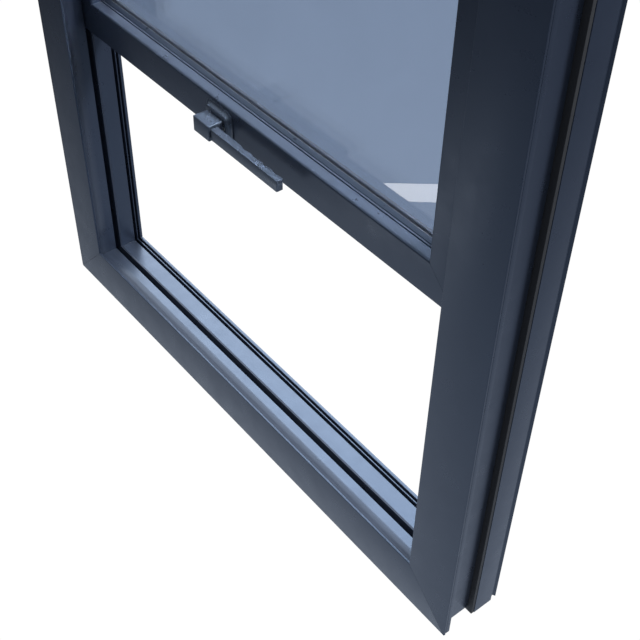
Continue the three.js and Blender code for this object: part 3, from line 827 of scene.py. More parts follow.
# The lever's coat is the frame's anthracite painted lighter, so the hub and arm tops read as lit:
# painted light.
LEVER_COAT = Finish(
    slot="lever_coat", colour=(0.024, 0.029, 0.041), worn_and_highlight_colour=(0.08, 0.092, 0.12), roughness=0.28,
    relief=0.012, wear_and_highlight=0.06, wear_and_highlight_reach=0.0006, dust=0.0, gloss_tint=(0.62, 0.78, 1.0),
    specular=0.95, ripple=420.0, speck_share=0.15, spread=0.02, tone=0.1,
)
POLYAMIDE = Finish(
    slot="polyamide", colour=(0.009, 0.009, 0.011), worn_and_highlight_colour=(0.03, 0.03, 0.034), roughness=0.62,
    relief=0.3, ripple=2400.0, speck=5200.0, speck_share=0.7, wear_and_highlight=0.3, dust=0.2,
)
CAST_ZINC = Finish(
    slot="cast_zinc", colour=(0.36, 0.37, 0.38), worn_and_highlight_colour=(0.62, 0.63, 0.64), roughness=0.46,
    metallic=0.9, relief=0.35, relief_height=0.0001, ripple=900.0, wear_and_highlight=0.5, dust=0.1,
)
SPACER_BAR = Finish(
    slot="spacer_bar", colour=(0.03, 0.035, 0.046), worn_and_highlight_colour=(0.06, 0.066, 0.08), roughness=0.6,
    metallic=0.2, relief=0.2, ripple=1500.0, wear_and_highlight=0.1, dust=0.0, specular=0.3,
)
RUBBER_SEAL = Finish(
    slot="rubber_seal", colour=(0.008, 0.008, 0.009), worn_and_highlight_colour=(0.03, 0.03, 0.032), roughness=0.68,
    relief=0.25, ripple=1600.0, speck_share=0.6, wear_and_highlight=0.25, dust=0.25,
)
STEEL = Finish(
    slot="steel", colour=(0.52, 0.53, 0.55), worn_and_highlight_colour=(0.78, 0.79, 0.8), roughness=0.28,
    metallic=1.0, relief=0.15, ripple=1200.0, wear_and_highlight=0.5, dust=0.0, specular=0.5,
)
NYLON = Finish(
    slot="nylon", colour=(0.013, 0.014, 0.016), worn_and_highlight_colour=(0.05, 0.05, 0.055), roughness=0.5,
    relief=0.2, ripple=1800.0, wear_and_highlight=0.3, dust=0.0,
)
GLASS = GlassFinish(slot="glass", tint=(0.83, 0.87, 0.93))
FINISHES = (
    POWDER_COAT, LEVER_COAT, POLYAMIDE, CAST_ZINC, SPACER_BAR, RUBBER_SEAL, STEEL, NYLON, GLASS,
)


@dataclass
class Workshop:
    """Dresses pieces and hangs them on the frame's bodies."""

    effects: Effects = field(default_factory=Effects)
    paints: dict[str, bpy.types.Material] = field(init=False)
    made: int = 0

    def __post_init__(self) -> None:
        """Makes every finish's material."""
        self.paints = {finish.slot: finish.material(self.effects) for finish in FINISHES}

    def dress(self, piece: bpy.types.Object, finish: str, body: str, *nodes: str) -> None:
        """Gives a finished piece its material, its body and the nodes it stands for.

        Args:
            piece: The new piece.
            finish: The slot of its finish.
            body: The body it moves with.
            nodes: The CAD nodes it replaces.
        """
        piece.data.materials.clear()
        piece.data.materials.append(self.paints[finish])
        piece.visible_shadow = finish != GLASS.slot
        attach(piece, body)
        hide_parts(*nodes)
        self.made += 1
        LOG.info("%s: %d faces, %s, on %s", piece.name, len(piece.data.polygons), finish, body)

    def repaint(self, node: str, finish: str) -> None:
        """Gives a CAD node that stays its better material."""
        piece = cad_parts[node]
        piece.data.materials.clear()
        piece.data.materials.append(self.paints[finish])
        LOG.info("%s: kept, %s", node, finish)


# ---------------------------------------------------------------- frame


@dataclass
class FrameSection:
    """Sizes of the outer frame's three-layer section, in millimetres."""

    face: float = 64.0
    depth: float = 91.0
    wall: float = 2.0
    gap: float = 0.3
    arris: float = 0.7
    recess: float = 8.0
    cove_offset: float = 38.4
    cove_depth: float = 29.4
    cove_steps: int = 14
    track_front: float = 40.0
    track_rear: float = 51.6
    track_floor: float = 15.3
    ridge: float = 31.0
    break_start: float = 42.8
    break_end: float = 46.7
    landing: float = 26.2
    landing_depth: float = 56.5
    channel: float = 4.5
    channel_depth: float = 78.7
    channel_floor: float = 12.0
    lip: float = 28.2
    lip_front: float = 86.8

    def cove(self) -> list[Corner]:
        """Returns the corners down the cove from the face's inner edge to the strip's front."""
        start, bow = Vector((self.face, 2.4)), Vector((self.cove_offset + 4.6, 12.0))
        end = Vector((self.cove_offset, self.cove_depth))
        curve = []
        for step in range(self.cove_steps + 1):
            t = step / self.cove_steps
            p = start * (1 - t) ** 2 + bow * (2 * t * (1 - t)) + end * t ** 2
            curve.append((p.x, p.y, 0))
        return curve

    def room_side(self) -> Section:
        """Returns the room-side extrusion: face, cove, strip and the track's front wall."""
        rear = self.break_start - self.gap
        outline = rounded([
            (0.0, 0.0, 0.8), (self.face, 0.0, 1.0), *self.cove(),
            (self.cove_offset, self.track_front, self.arris),
            (self.track_floor, self.track_front, 0.3), (self.track_floor, rear, 0),
            (self.recess, rear, 0), (self.recess, 9, 0.4), (0.6, 9, 0.3), (0.6, 3.6, 0.2),
            (1.8, 3.6, 0.2), (1.8, 2.6, 0.2), (0, 2.6, 0.3),
        ])
        near = self.recess + self.wall
        inner = self.track_front - self.wall
        chamber = rounded([
            (near, self.wall, 0.5), (self.cove_offset + 8, self.wall, 0.5),
            (self.cove_offset - self.wall, self.cove_depth - 8, 0.5),
            (self.cove_offset - self.wall, inner, 0.5), (near, inner, 0.5),
        ], steps=1)
        return Section(outline, [chamber])

    def insulating_bar(self) -> Section:
        """Returns the insulating bar, with dovetailed feet and a hollow."""
        low, high = 1.0, self.track_floor
        outline = rounded([
            (low, self.break_start, 0.3), (high, self.break_start, 0.4),
            (high - 0.3, (self.break_start + self.break_end) / 2, 0.8),
            (high, self.break_end, 0.4), (low, self.break_end, 0.3),
        ])
        chamber = rounded([
            (3, self.break_start + 1.2, 0.3), (high - self.wall, self.break_start + 1.2, 0.3),
            (high - self.wall, self.break_end - 1.2, 0.3), (3, self.break_end - 1.2, 0.3),
        ], steps=1)
        return Section(outline, [chamber])

    def weather_side(self) -> Section:
        """Returns the weather-side extrusion: ridge, flat, the light's channel and the lip."""
        front, channel_rear = self.break_end + self.gap, self.channel_depth + self.channel
        flange = self.recess + 1
        hook = self.channel_floor + self.wall
        outline = rounded([
            (0.5, front, 0.3), (self.track_floor, front, 0),
            (self.track_floor, self.track_rear, 0.3),
            (self.ridge, self.track_rear, 0.6), (self.landing, self.landing_depth, 0.8),
            (self.landing, self.channel_depth, 0.6),
            (self.channel_floor, self.channel_depth, 0.2),
            (self.channel_floor, channel_rear, 0.2), (self.landing - 0.6, channel_rear, 0.3),
            (self.landing - 0.6, channel_rear + 1.6, 0.3), (hook, channel_rear + 1.6, 0.3),
            (hook, self.lip_front, 0.3), (self.lip, self.lip_front, 0.5),
            (self.lip, self.depth, 0.6),
            (flange, self.depth, 0.6), (flange, 81.3, 0.3), (0.6, 81.3, 0.4), (3, 78.3, 0.3),
            (3, 76.8, 0.2), (5, 76.8, 0.2), (5, 73.6, 0.2), (0.5, 73.6, 0.4),
        ])
        near = self.track_floor - self.wall
        chamber = rounded([
            (2.5, self.break_end + 3, 0.5), (near, self.break_end + 3, 0.5),
            (near, self.track_rear + self.wall, 0.5),
            (self.ridge - 6.5, self.track_rear + self.wall, 0.4),
            (self.landing - self.wall, self.landing_depth, 0.5),
            (self.landing - self.wall, self.channel_depth - self.wall, 0.5),
            (self.channel_floor - self.wall, self.channel_depth - self.wall, 0.5),
            (self.channel_floor - self.wall, 71.6, 0.4), (2.5, 71.6, 0.5),
        ], steps=1)
        return Section(outline, [chamber])


@dataclass
class OuterFrame:
    """The fixed frame: three mitred rings of extrusion, locked by cleats in their corners."""

    shop: Workshop
    section: FrameSection = field(default_factory=FrameSection)

    def build(self) -> None:
        """Builds and dresses the frame's rings."""
        low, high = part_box("sill_inner_profile")[0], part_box("head_inner_profile")[1]
        width = 2 * max(-low.x, high.x)
        ring = Ring(0.0, 0.0, round(width / MM) * MM, round(high.z / MM) * MM)
        layers = (
            ("room_extrusion", self.section.room_side(), "inner_profile", "powder_coat"),
            ("insulating_bar", self.section.insulating_bar(), "thermal_bar", "polyamide"),
            ("weather_extrusion", self.section.weather_side(), "outer_profile", "powder_coat"),
        )
        for layer, section, node, finish in layers:
            names = {side: f"{bar_name}_{layer}" for side, bar_name in FRAME_BARS.items()}
            for side, piece in ring.build(section, names).items():
                self.shop.dress(piece, finish, "frame", f"{FRAME_BARS[side]}_{node}")
        for corner in CORNERS:
            for prefix in ("inner_corner_cleat", "outer_corner_cleat"):
                self.shop.repaint(f"{prefix}_{corner}", "cast_zinc")


@dataclass
class UpperLight:
    """The fixed upper pane and the meeting rail whose ledge its foot stands on."""

    shop: Workshop
    arris: float = 0.4 * MM
    rail_arris: float = 0.5 * MM
    clearance: float = 0.3 * MM
    slot_reach: float = 0.05
    slot_front: float = 0.01

    def build(self) -> None:
        """Builds the pane and the rail."""
        low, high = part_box("upper_pane")
        pane = slab("upper_light_pane", low, high, self.arris)
        self.shop.dress(smooth(pane), "glass", "frame", "upper_pane")
        low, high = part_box("meeting_rail")
        rail = slab("upper_light_meeting_rail", low, high, self.rail_arris)
        cut(rail, grown(
            "upper_pane", self.clearance, low=(self.slot_reach, self.slot_front, 0),
            high=(self.slot_reach, 0, 0),
        ))
        self.shop.dress(smooth(rail), "powder_coat", "frame", "meeting_rail")


# ---------------------------------------------------------------- sash


@dataclass
class SashSection:
    """Sizes of the sash's sections, in millimetres."""

    face: float = 42.0
    front: float = 41.3
    rear: float = 78.2
    wall: float = 2.0
    gap: float = 0.3
    guide_reach: float = 12.8
    guide: float = 9.3
    nose: float = 3.0
    ledge_rear: float = 54.8
    rebate_floor: float = 24.0
    rear_lip: float = 1.8
    rear_lip_height: float = 40.3
    stile: float = 61.5
    bead_rise: float = 3.2
    bead_rear: float = 63.8

    def member(self) -> Section:
        """Returns the rail and stile section: tongue, two chambers, ledge and glazing rebate."""
        tongue = self.front + self.guide
        rebate = self.rear - self.rear_lip
        outline = rounded([
            (0, self.front, 0.5), (self.face, self.front, self.nose),
            (self.face, self.ledge_rear, 0.6),
            (self.rebate_floor, self.ledge_rear, 0.2), (self.rebate_floor, rebate, 0.2),
            (self.rear_lip_height, rebate, 0.4), (self.rear_lip_height, self.rear, 0.5),
            (self.guide_reach, self.rear, 0.6), (self.guide_reach, tongue, 0.3), (0, tongue, 0.6),
        ], steps=5)
        near, back = self.wall, self.ledge_rear - self.wall
        front = self.front + self.wall
        drive = rounded([
            (near, front, 0.4), (self.face - near, front, 0.4), (self.face - near, back, 0.4),
            (self.guide_reach + near, back, 0.4), (self.guide_reach + near, tongue - near, 0.3),
            (near, tongue - near, 0.4),
        ], steps=1)
        cleat = [
            (self.guide_reach + near, self.ledge_rear + 1.2),
            (self.rebate_floor - near, self.ledge_rear + 1.2),
            (self.rebate_floor - near, rebate - near), (self.guide_reach + near, rebate - near),
        ]
        return Section(outline, [drive, cleat])

    def lock_stile(self) -> Section:
        """Returns the extra profile at the right, with its own tongue and one wide chamber."""
        tongue, edge = self.front + self.guide, self.stile - self.gap
        outline = rounded([
            (0, self.front, 0.5), (edge, self.front, 0.5), (edge, self.rear, 0.5),
            (self.guide_reach, self.rear, 0.6), (self.guide_reach, tongue, 0.3), (0, tongue, 0.6),
        ])
        near = self.wall
        chamber = rounded([
            (near, self.front + near, 0.4), (edge - near, self.front + near, 0.4),
            (edge - near, self.rear - near, 0.4), (self.guide_reach + near, self.rear - near, 0.4),
            (self.guide_reach + near, tongue - near, 0.3), (near, tongue - near, 0.4),
        ], steps=1)
        return Section(outline, [chamber])

    def bead(self) -> Section:
        """Returns the snap-in glazing bead: a fine rib, a groove and a slope up to the glass."""
        front, top = self.ledge_rear + self.gap, self.face
        outline = rounded([
            (self.rebate_floor + self.gap, front, 0.3), (top - 1, front, 0.2),
            (top - 1, front + 0.7, 0.15),
            (top + 0.3, front + 1.1, 0.25), (top + 0.3, front + 2.6, 0.3),
            (top - 0.8, front + 3, 0.2),
            (top - 0.8, front + 4.1, 0.2), (top, front + 4.3, 0.3),
            (top + self.bead_rise, self.bead_rear - 0.5, 0.3),
            (top + self.bead_rise - 0.5, self.bead_rear, 0.2),
            (self.rebate_floor + self.gap, self.bead_rear, 0.3),
        ])
        return Section(outline)


@dataclass
class Sash:
    """The raised sash: four mitred members, a lock stile, beads, a sealed unit and its seals."""

    shop: Workshop
    section: SashSection = field(default_factory=SashSection)
    clearance: float = 0.6 * MM
    glass_arris: float = 0.35 * MM
    spacer_joint_x: float = -26.5 * MM
    spacer_saw: float = 0.25 * MM
    spacer_top: float = 47.0
    stroke: float = 0.0105
    shoe_reach: float = 0.006
    rod_reach: float = -0.2
    spindle_hole: float = 5.95 * MM
    screw_hole: float = 2.4 * MM
    screw_head: float = 4.2 * MM
    hole_depth: float = 8 * MM

    def _ring(self) -> Ring:
        """Returns the rectangle that the four members stand on."""
        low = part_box("sash_left_stile")[0]
        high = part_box("sash_right_stile")[1]
        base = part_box("sash_bottom_rail")[0].z
        return Ring((low.x + high.x) / 2, base, high.x - low.x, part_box("sash_top_rail")[1].z - base)

    def build(self) -> None:
        """Builds and dresses the whole sash."""
        ring = self._ring()
        self._members(ring)
        self._lock_stile()
        self._beads(ring)
        self._sealed_unit(ring)
        self._wiper()
        for place in ("inner", "outer"):
            self.shop.repaint(f"{place}_glazing_gasket", "rubber_seal")
        for corner in CORNERS:
            self.shop.repaint(f"sash_corner_cleat_{corner}", "cast_zinc")

    def _way(self, node: str, low: float = 0.0, high: float = 0.0) -> bpy.types.Object:
        """Makes a cutter that clears a drive piece and reaches on along X."""
        return grown(node, self.clearance, low=(low, 0, 0), high=(high, 0, 0))

    def _left_ways(self) -> list[bpy.types.Object]:
        """Makes the cutters that clear the left rod and its shoe."""
        return [
            self._way("left_brake_shoe", low=self.shoe_reach, high=self.stroke),
            self._way("left_drive_rod", high=self.rod_reach),
        ]

    def _members(self, ring: Ring) -> None:
        """Builds the rails and stiles, with the holes that the drive needs."""
        names = {
            Side.BOTTOM: "sash_lower_rail", Side.RIGHT: "sash_right_member",
            Side.TOP: "sash_upper_rail", Side.LEFT: "sash_left_member",
        }
        nodes = {
            Side.BOTTOM: "sash_bottom_rail", Side.RIGHT: "sash_right_stile",
            Side.TOP: "sash_top_rail", Side.LEFT: "sash_left_stile",
        }
        bars = ring.build(self.section.member(), names)
        pivot = self._pivot()
        screws = [
            Vector((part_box(f"rose_screw_{side}")[0].x + self.screw_head, pivot.y, pivot.z))
            for side in ("left", "right")
        ]
        cut(
            bars[Side.BOTTOM], drill(pivot, self.spindle_hole, self.hole_depth),
            *(drill(screw, self.screw_hole, self.hole_depth, 20) for screw in screws),
            *self._left_ways(),
        )
        cut(bars[Side.LEFT], *self._left_ways())
        cut(bars[Side.RIGHT], self._way("right_drive_rod", low=self.rod_reach))
        for side, piece in bars.items():
            self.shop.dress(smooth(piece), "powder_coat", "sash", nodes[side])

    def _pivot(self) -> Vector:
        """Returns where the spindle's axis meets the rail's room face."""
        low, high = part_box("spindle")
        return Vector(((low.x + high.x) / 2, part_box("sash_bottom_rail")[0].y, (low.z + high.z) / 2))

    def _lock_stile(self) -> None:
        """Builds the profile at the right that the brake shoe comes out of."""
        low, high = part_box("sash_lock_stile")
        piece = square_bar(self.section.lock_stile(), "sash_lock_member", high.z - low.z)
        piece.rotation_euler = (0, Side.RIGHT.value, 0)
        piece.location = (high.x, 0, (low.z + high.z) / 2)
        settle(piece)
        cut(
            piece, self._way("right_brake_shoe", low=self.stroke, high=self.shoe_reach),
            self._way("right_drive_rod", low=self.rod_reach),
        )
        self.shop.dress(smooth(piece), "powder_coat", "sash", "sash_lock_stile")

    def _beads(self, ring: Ring) -> None:
        """Builds the four glazing beads."""
        names = {side: f"sash_glazing_bead_{word}" for side, word in SIDE_NAMES.items()}
        for side, piece in ring.build(self.section.bead(), names).items():
            self.shop.dress(piece, "powder_coat", "sash", f"glazing_bead_{SIDE_NAMES[side]}")

    def _sealed_unit(self, ring: Ring) -> None:
        """Builds the two panes and the spacer between them."""
        for node in ("inner_pane", "outer_pane"):
            pane = slab(f"sash_{node}", *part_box(node), self.glass_arris)
            self.shop.dress(smooth(pane), "glass", "sash", node)
        low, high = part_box("glazing_spacer")
        edge = (low.x - (ring.centre_x - ring.width / 2)) / MM
        front, rear = (low.y - ROOM_FACE) / MM, (high.y - ROOM_FACE) / MM
        top = self.spacer_top - edge
        outline = rounded([
            (0, front, 0.3), (0, rear, 0.3), (top - 1.1, rear, 0.3), (top, rear - 0.9, 0.3),
            (top, front + 0.9, 0.3), (top - 1.1, front, 0.3),
        ])
        inner = Ring(ring.centre_x, low.z, high.x - low.x, high.z - low.z)
        spacer = inner.build_loop(Section(outline), "sash_unit_spacer")
        joint = block(
            "cutter",
            (self.spacer_joint_x - self.spacer_saw, low.y - 0.001, low.z + (top - 0.8) * MM),
            (self.spacer_joint_x + self.spacer_saw, high.y + 0.001, low.z + (top + 1) * MM),
        )
        cut(spacer, joint)
        self.shop.dress(smooth(spacer), "spacer_bar", "sash", "glazing_spacer")

    def _wiper(self) -> None:
        """Builds the seal under the rail: a held root and two thin lips."""
        low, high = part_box("bottom_wiper_seal")
        front, rear = (low.y - ROOM_FACE) / MM, (high.y - ROOM_FACE) / MM
        tall = (high.z - low.z) / MM
        mid = (front + rear) / 2
        outline = rounded([
            (tall, front, 0.3), (tall, rear, 0.3), (tall - 13, rear, 0.8),
            (tall - 14.5, rear - 0.8, 0.5),
            (3.5, rear - 1.1, 0.6), (0, rear, 0.5), (0.3, rear - 0.9, 0.2), (3.2, mid, 0.4),
            (0.3, front + 0.9, 0.2), (0, front, 0.5), (3.5, front + 1.1, 0.6),
            (tall - 14.5, front + 0.8, 0.5), (tall - 13, front, 0.8),
        ])
        piece = square_bar(Section(outline), "sash_wiper_seal", high.x - low.x)
        piece.location = ((low.x + high.x) / 2, 0, low.z)
        settle(piece)
        self.shop.dress(smooth(piece), "rubber_seal", "sash", "bottom_wiper_seal")


# ---------------------------------------------------------------- lever and drive


@dataclass
class LeverSet:
    """The rose with its screws, the hub, the lever with finger grips, and the drive behind them."""

    shop: Workshop
    rose_width: float = 39.0
    rose_height: float = 29.6
    rose_corner: float = 6.0
    rose_foot: float = 0.8
    rose_edge: float = 0.5 * MM
    flare: float = 5.5
    bore: float = 5.95 * MM
    screw_bore: float = 2.4 * MM
    screw_seat: float = 4.6 * MM
    hub_edge: float = 1.2 * MM
    tenon: tuple[float, float, float] = (11.2 * MM, 7 * MM, 4.6 * MM)
    arm_edge: float = 0.7 * MM
    waves: int = 4
    pitch: float = 18.0
    hollow: float = 1.7
    wave_steps: int = 10
    wave_land: float = 1.5
    wave_end: float = 3.0
    flare_steps: int = 9
    bore_depth: float = 0.06
    seat_depth: float = 4.6 * MM
    screw_sides: int = 28
    screw_radius: float = 4.2 * MM
    head_height: float = 1.8 * MM
    head_shoulder: float = 2.2 * MM
    head_round: float = 0.7 * MM
    recess: tuple[float, float, float] = (2.3 * MM, 0.45 * MM, 1.1 * MM)
    clearance: float = 0.3 * MM

    def build(self) -> None:
        """Builds and dresses the lever set."""
        self._rose()
        self._screws()
        self._hub()
        self._arm()
        for node, finish in (
            ("spindle", "steel"), ("drive_pinion", "steel"), ("drive_housing", "cast_zinc"),
            ("left_drive_rod", "steel"), ("right_drive_rod", "steel"),
            ("left_brake_shoe", "nylon"), ("right_brake_shoe", "nylon"),
        ):
            self.shop.repaint(node, finish)

    def _pivot(self) -> Vector:
        """Returns the middle of the spindle, which the whole set is centred on."""
        low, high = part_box("spindle")
        return (low + high) / 2

    def _rose(self) -> None:
        """Builds the rose: a straight front whose hollowed sides sweep out to a thin foot.

        The foot is inset step by step up to the front, trimmed level with the rail's lower edge
        and bored for the spindle and the two screws.
        """
        low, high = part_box("lever_rose")
        pivot = self._pivot()
        half_x, half_z = self.rose_width / 2 + self.flare, self.rose_height / 2 + self.flare
        x, z = pivot.x / MM, pivot.z / MM
        corner = self.rose_corner + self.flare
        foot = rounded([
            (x - half_x, z - half_z, corner), (x + half_x, z - half_z, corner),
            (x + half_x, z + half_z, corner), (x - half_x, z + half_z, corner),
        ], steps=10)
        rose = plan(
            "lever_rose_plate", [Vector((px * MM, high.y, pz * MM)) for px, pz in foot],
            Vector((0, -self.rose_foot * MM, 0)),
        )
        pick(rose)
        bpy.ops.object.mode_set(mode="EDIT")
        front = high.y - self.rose_foot * MM
        choose(rose, "FACE", lambda place, normal: normal.y < -0.9 and abs(place.y - front) < 1e-5)
        sweep, steps = high.y - low.y - self.rose_foot * MM, self.flare_steps
        for step in range(steps):
            now, then = (math.pi / 2 * k / steps for k in (step, step + 1))
            bpy.ops.mesh.inset(
                thickness=self.flare * MM * (math.sin(then) - math.sin(now)),
                depth=sweep * (math.cos(now) - math.cos(then)),
            )
        bpy.ops.mesh.region_to_loop()
        bpy.ops.mesh.bevel(offset=self.rose_edge, segments=3, affect="EDGES")
        bpy.ops.mesh.select_all(action="SELECT")
        bpy.ops.mesh.bisect(
            plane_co=(0, 0, low.z), plane_no=(0, 0, -1), clear_outer=True, use_fill=True,
            threshold=WELD,
        )
        face_outwards()
        tools = [drill(pivot, self.bore, self.bore_depth)]
        for side in ("left", "right"):
            start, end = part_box(f"rose_screw_{side}")
            at = Vector(((start.x + end.x) / 2, low.y, pivot.z))
            tools += [
                drill(at, self.screw_bore, self.bore_depth, 24),
                drill(at, self.screw_seat, self.seat_depth),
            ]
        cut(rose, *tools)
        self.shop.dress(smooth(rose), "lever_coat", "sash", "lever_rose")

    def _screws(self) -> None:
        """Builds one raised-head screw with a cross recess and copies it."""
        low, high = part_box("rose_screw_left")
        middle = (low + high) / 2
        deselect()
        bpy.ops.mesh.primitive_circle_add(
            vertices=self.screw_sides, radius=self.screw_radius, fill_type="NGON",
            location=(middle.x, low.y, middle.z), rotation=(math.pi / 2, 0, 0),
        )
        screw = bpy.context.object
        screw.name = screw.data.name = "backplate_screw_left"
        settle(screw)
        bpy.ops.object.mode_set(mode="EDIT")
        bpy.ops.mesh.select_all(action="SELECT")
        bpy.ops.mesh.extrude_region_move(
            TRANSFORM_OT_translate={"value": (0, self.head_height, 0)},
        )
        bpy.ops.mesh.inset(thickness=self.head_shoulder)
        bpy.ops.mesh.extrude_region_move(
            TRANSFORM_OT_translate={"value": (0, high.y - low.y - self.head_height, 0)},
        )
        bpy.ops.mesh.select_all(action="SELECT")
        bpy.ops.mesh.normals_make_consistent(inside=False)
        choose(screw, "FACE", lambda place, normal: normal.y < -0.9 and place.y < low.y + 0.1 * MM)
        bpy.ops.mesh.region_to_loop()
        bpy.ops.mesh.bevel(offset=self.head_round, segments=3, affect="EDGES")
        bpy.ops.object.mode_set(mode="OBJECT")
        arm, half, deep = self.recess
        for reach_x, reach_z in ((arm, half), (half, arm)):
            cut(screw, block(
                "cutter", (middle.x - reach_x, low.y - 0.001, middle.z - reach_z),
                (middle.x + reach_x, low.y + deep, middle.z + reach_z),
            ))
        twin = copied(screw, "backplate_screw_right")
        twin.location.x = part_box("rose_screw_right")[0].x - low.x
        settle(twin)
        self.shop.dress(smooth(screw), "steel", "sash", "rose_screw_left")
        self.shop.dress(smooth(twin), "steel", "sash", "rose_screw_right")

    def _hub(self) -> None:
        """Builds the hub block, with a tenon for the arm and a square socket for the spindle."""
        low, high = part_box("lever_hub")
        reach, tall, thick = self.tenon
        arm_low, arm_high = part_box("lever_arm")
        body_high = Vector((high.x - reach, high.y, high.z))
        hub = block("lever_hub_block", low, body_high)
        bpy.ops.object.mode_set(mode="EDIT")
        bpy.ops.mesh.select_all(action="SELECT")
        bpy.ops.mesh.bevel(offset=self.hub_edge, segments=4, affect="EDGES")
        end = body_high.x - 0.01 * MM
        choose(hub, "FACE", lambda middle, normal: normal.x > 0.999 and middle.x > end)
        flat_high = high.z - low.z - 2 * self.hub_edge
        bpy.ops.mesh.inset(thickness=(flat_high - tall) / 2)
        width_now = high.y - low.y - 2 * self.hub_edge - (flat_high - tall)
        bpy.ops.transform.resize(value=(1, thick / width_now, 1))
        shift = (arm_low.y + arm_high.y) / 2 - (low.y + high.y) / 2
        bpy.ops.transform.translate(value=(0, shift, 0))
        bpy.ops.mesh.extrude_region_move(TRANSFORM_OT_translate={"value": (reach, 0, 0)})
        bpy.ops.object.mode_set(mode="OBJECT")
        cut(hub, grown("spindle", self.clearance))
        self.shop.dress(smooth(hub), "lever_coat", "lever", "lever_hub")

    def _arm(self) -> None:
        """Builds the arm: a straight bar with four finger hollows along its rail side."""
        low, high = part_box("lever_arm")
        tip, root = high.x / MM, low.x / MM
        front, rear = low.y / MM, high.y / MM
        first = tip - self.wave_end - self.waves * self.pitch
        corners: list[Corner] = [(root, front, 0.4), (tip, front, 1.2), (tip, rear - 0.5, 1.2)]
        steps = self.wave_steps
        for wave in range(self.waves, 0, -1):
            start = first + wave * self.pitch - self.wave_land / 2
            span = self.pitch - self.wave_land
            for step in range(steps + 1):
                t = step / steps
                sag = self.hollow * math.sin(math.pi * t) ** 1.15
                corners.append((start - span * t, rear - sag, 0.5 if step in (0, steps) else 0))
        corners.append((root, rear, 0.4))
        points = rounded(corners, steps=3)
        arm = plan(
            "lever_finger_arm", [Vector((x * MM, y * MM, low.z)) for x, y in points],
            Vector((0, 0, high.z - low.z)),
        )
        round_edges(arm, self.arm_edge, segments=3, angle=60)
        reach, tall, thick = self.tenon
        middle = (low + high) / 2
        clear = self.clearance
        hub_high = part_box("lever_hub")[1].x
        cut(arm, block(
            "cutter", (low.x - 0.002, middle.y - thick / 2 - clear, middle.z - tall / 2 - clear),
            (hub_high + clear, middle.y + thick / 2 + clear, middle.z + tall / 2 + clear),
        ))
        self.shop.dress(smooth(arm), "lever_coat", "lever", "lever_arm")


# ---------------------------------------------------------------- studio


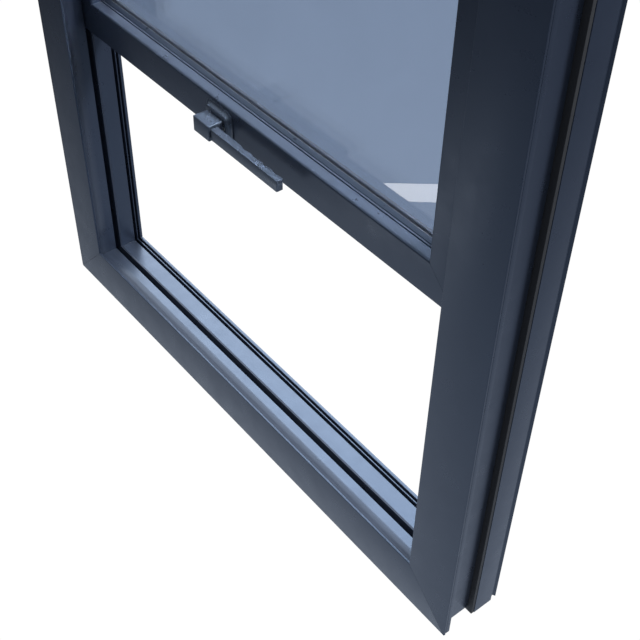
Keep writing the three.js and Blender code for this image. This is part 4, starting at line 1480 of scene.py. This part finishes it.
@dataclass
class Studio:
    """A pale floor well below the window, soft light and the camera."""

    camera_place: tuple[float, float, float] = (0.8138, -0.5736, 1.0932)
    yaw: float = 50.661
    pitch: float = 43.26
    roll: float = 1.272
    lens: float = 62.54
    sensor: float = 36.0
    floor_level: float = -0.9
    floor_size: float = 40
    white: float = 1.02
    card_place: tuple[float, float] = (-0.955, -1.44)
    card_size: tuple[float, float] = (0.62, 0.09)
    card_turn: float = -50.7
    card_light: float = 5.2
    pool_place: tuple[float, float] = (0.25, -0.45)
    pool_radius: float = 3.6
    pool_light: float = 0.85
    far_light: float = 0.06
    pool_tint: tuple[float, float, float] = (0.78, 0.88, 1.04)
    room_sky: float = 0.3
    weather_sky: float = 1.5
    overhead_sky: float = 1.3
    backdrop: float = 1.2
    sky_reach: float = 0.9
    sky_colour: tuple[float, float, float] = (0.84, 0.92, 1.0)
    shade: tuple[float, float, float] = (0.32, 0.37, 0.445)

    def build(self) -> None:
        """Sets up the floor, the lamps, the sky and the camera."""
        self._floor()
        self._card()
        self._lamps()
        self._sky()
        self._camera()
        bpy.context.scene.view_settings.view_transform = "Standard"

    def _floor(self) -> None:
        """Lays a pale floor that glows with a painted soft pool of light in front of the window.

        The camera sees it plain white, and what looks through glass sees it in a painted even shade.
        """
        deselect()
        bpy.ops.mesh.primitive_plane_add(
            size=self.floor_size, location=(0, 0, self.floor_level),
        )
        floor = bpy.context.object
        floor.name = "studio_floor"
        made = bare_material("studio_floor")
        tree = made.node_tree
        where = place_node(tree, "ShaderNodeTexCoord").outputs["Object"]
        away = place_node(tree, "ShaderNodeVectorMath", {0: where, 1: (*self.pool_place, 0)},
                          operation="DISTANCE").outputs["Value"]
        # The floor's glow is a painted pool of light, brightest in front of the window and fading
        # with distance.
        fade = place_range(
            tree, away, (0.0, self.pool_radius), (self.pool_light, self.far_light),
            interpolation_type="SMOOTHSTEP",
        )
        pool, shade, white = (
            place_node(tree, "ShaderNodeEmission", {"Color": (*colour, 1), "Strength": strength})
            for colour, strength in (
                (self.pool_tint, fade), (self.shade, 1.0), ((1, 1, 1), self.white),
            )
        )
        path = place_node(tree, "ShaderNodeLightPath")
        through = place_node(tree, "ShaderNodeMixShader", {
            0: path.outputs["Is Transmission Ray"], 1: pool.outputs[0], 2: shade.outputs[0],
        })
        seen = place_node(tree, "ShaderNodeMixShader", {
            0: path.outputs["Is Camera Ray"], 1: through.outputs[0], 2: white.outputs[0],
        })
        tree.links.new(seen.outputs[0], tree.nodes["Material Output"].inputs["Surface"])
        floor.data.materials.append(made)

    def _card(self) -> None:
        """Lays a narrow bounce card on the floor, whose reflection crosses the glass."""
        deselect()
        bpy.ops.mesh.primitive_plane_add(
            size=1, location=(*self.card_place, self.floor_level + 0.01),
            rotation=(0, 0, math.radians(self.card_turn)),
        )
        card = bpy.context.object
        card.name = "bounce_card"
        card.scale = (*self.card_size, 1)
        made = bare_material("bounce_card")
        tree = made.node_tree
        glow = place_node(tree, "ShaderNodeEmission", {
            "Color": (1, 1, 1, 1), "Strength": self.card_light,
        })
        tree.links.new(glow.outputs[0], tree.nodes["Material Output"].inputs["Surface"])
        card.data.materials.append(made)
        card.visible_camera = card.visible_transmission = False

    def _lamp(self, name: str, place: Sequence[float], target: Sequence[float], size: float,
              power: float, colour: Sequence[float] = (1, 1, 1)) -> None:
        """Hangs a square soft lamp.

        Args:
            name: The lamp's name.
            place: Where it hangs.
            target: Where it points.
            size: Its side.
            power: Its power in watts.
            colour: Its colour.
        """
        data = bpy.data.lights.new(name, "AREA")
        data.size, data.energy, data.color = size, power, colour
        lamp = bpy.data.objects.new(name, data)
        bpy.context.scene.collection.objects.link(lamp)
        lamp.location = place
        aim = Vector(target) - Vector(place)
        lamp.rotation_euler = aim.to_track_quat("-Z", "Y").to_euler()
        lamp.visible_transmission = False

    def _lamps(self) -> None:
        """Hangs the lamps."""
        self._lamp("skylight", (-2.2, 2.3, 3.3), (0, 0, 0.2), 3.0, 200, (0.86, 0.93, 1.0))
        self._lamp("edge_light", (1.75, 1.4, 2.7), (0, 0, 0.4), 0.6, 150, (0.92, 0.96, 1.0))

    def _sky(self) -> None:
        """Gives a soft sky, brighter overhead and on the weather side than towards the room."""
        world = bpy.data.worlds.new("sky")
        bpy.context.scene.world = world
        world.use_nodes = True
        tree = world.node_tree
        way = place_node(tree, "ShaderNodeTexCoord").outputs["Generated"]
        parts = place_node(tree, "ShaderNodeSeparateXYZ", {0: way})
        behind, above = (
            place_range(
                tree, parts.outputs[axis], (0.0, self.sky_reach), strengths,
                interpolation_type="SMOOTHSTEP",
            )
            for axis, strengths in (
                ("Y", (self.room_sky, self.weather_sky)), ("Z", (0.0, self.overhead_sky)),
            )
        )
        back = tree.nodes["Background"]
        back.inputs["Color"].default_value = (*self.sky_colour, 1)
        seen = place_node(tree, "ShaderNodeLightPath").outputs["Is Camera Ray"]
        glow = place_node(tree, "ShaderNodeMix", {
            0: seen, 2: place_maths(tree, "ADD", behind, above), 3: self.backdrop,
        }).outputs[0]
        tree.links.new(glow, back.inputs["Strength"])

    def _camera(self) -> None:
        """Places the camera."""
        data = bpy.data.cameras.new("camera")
        data.lens, data.sensor_width = self.lens, self.sensor
        camera = bpy.data.objects.new("camera", data)
        bpy.context.scene.collection.objects.link(camera)
        turn = Matrix.Rotation(math.radians(self.yaw), 4, "Z")
        tilt = Matrix.Rotation(math.radians(90 - self.pitch), 4, "X")
        roll = Matrix.Rotation(math.radians(self.roll), 4, "Z")
        camera.matrix_world = Matrix.Translation(self.camera_place) @ turn @ tilt @ roll
        bpy.context.scene.camera = camera


def main() -> None:
    """Builds the window's pieces and the studio round them."""
    logging.basicConfig(level=logging.INFO, format="%(message)s", stream=sys.stdout)
    shop = Workshop()
    for assembly in (OuterFrame(shop), UpperLight(shop), Sash(shop), LeverSet(shop)):
        LOG.info("building %s", type(assembly).__name__)
        assembly.build()
    Studio().build()
    LOG.info("%d new pieces", shop.made)


if __name__ == "__main__":
    main()
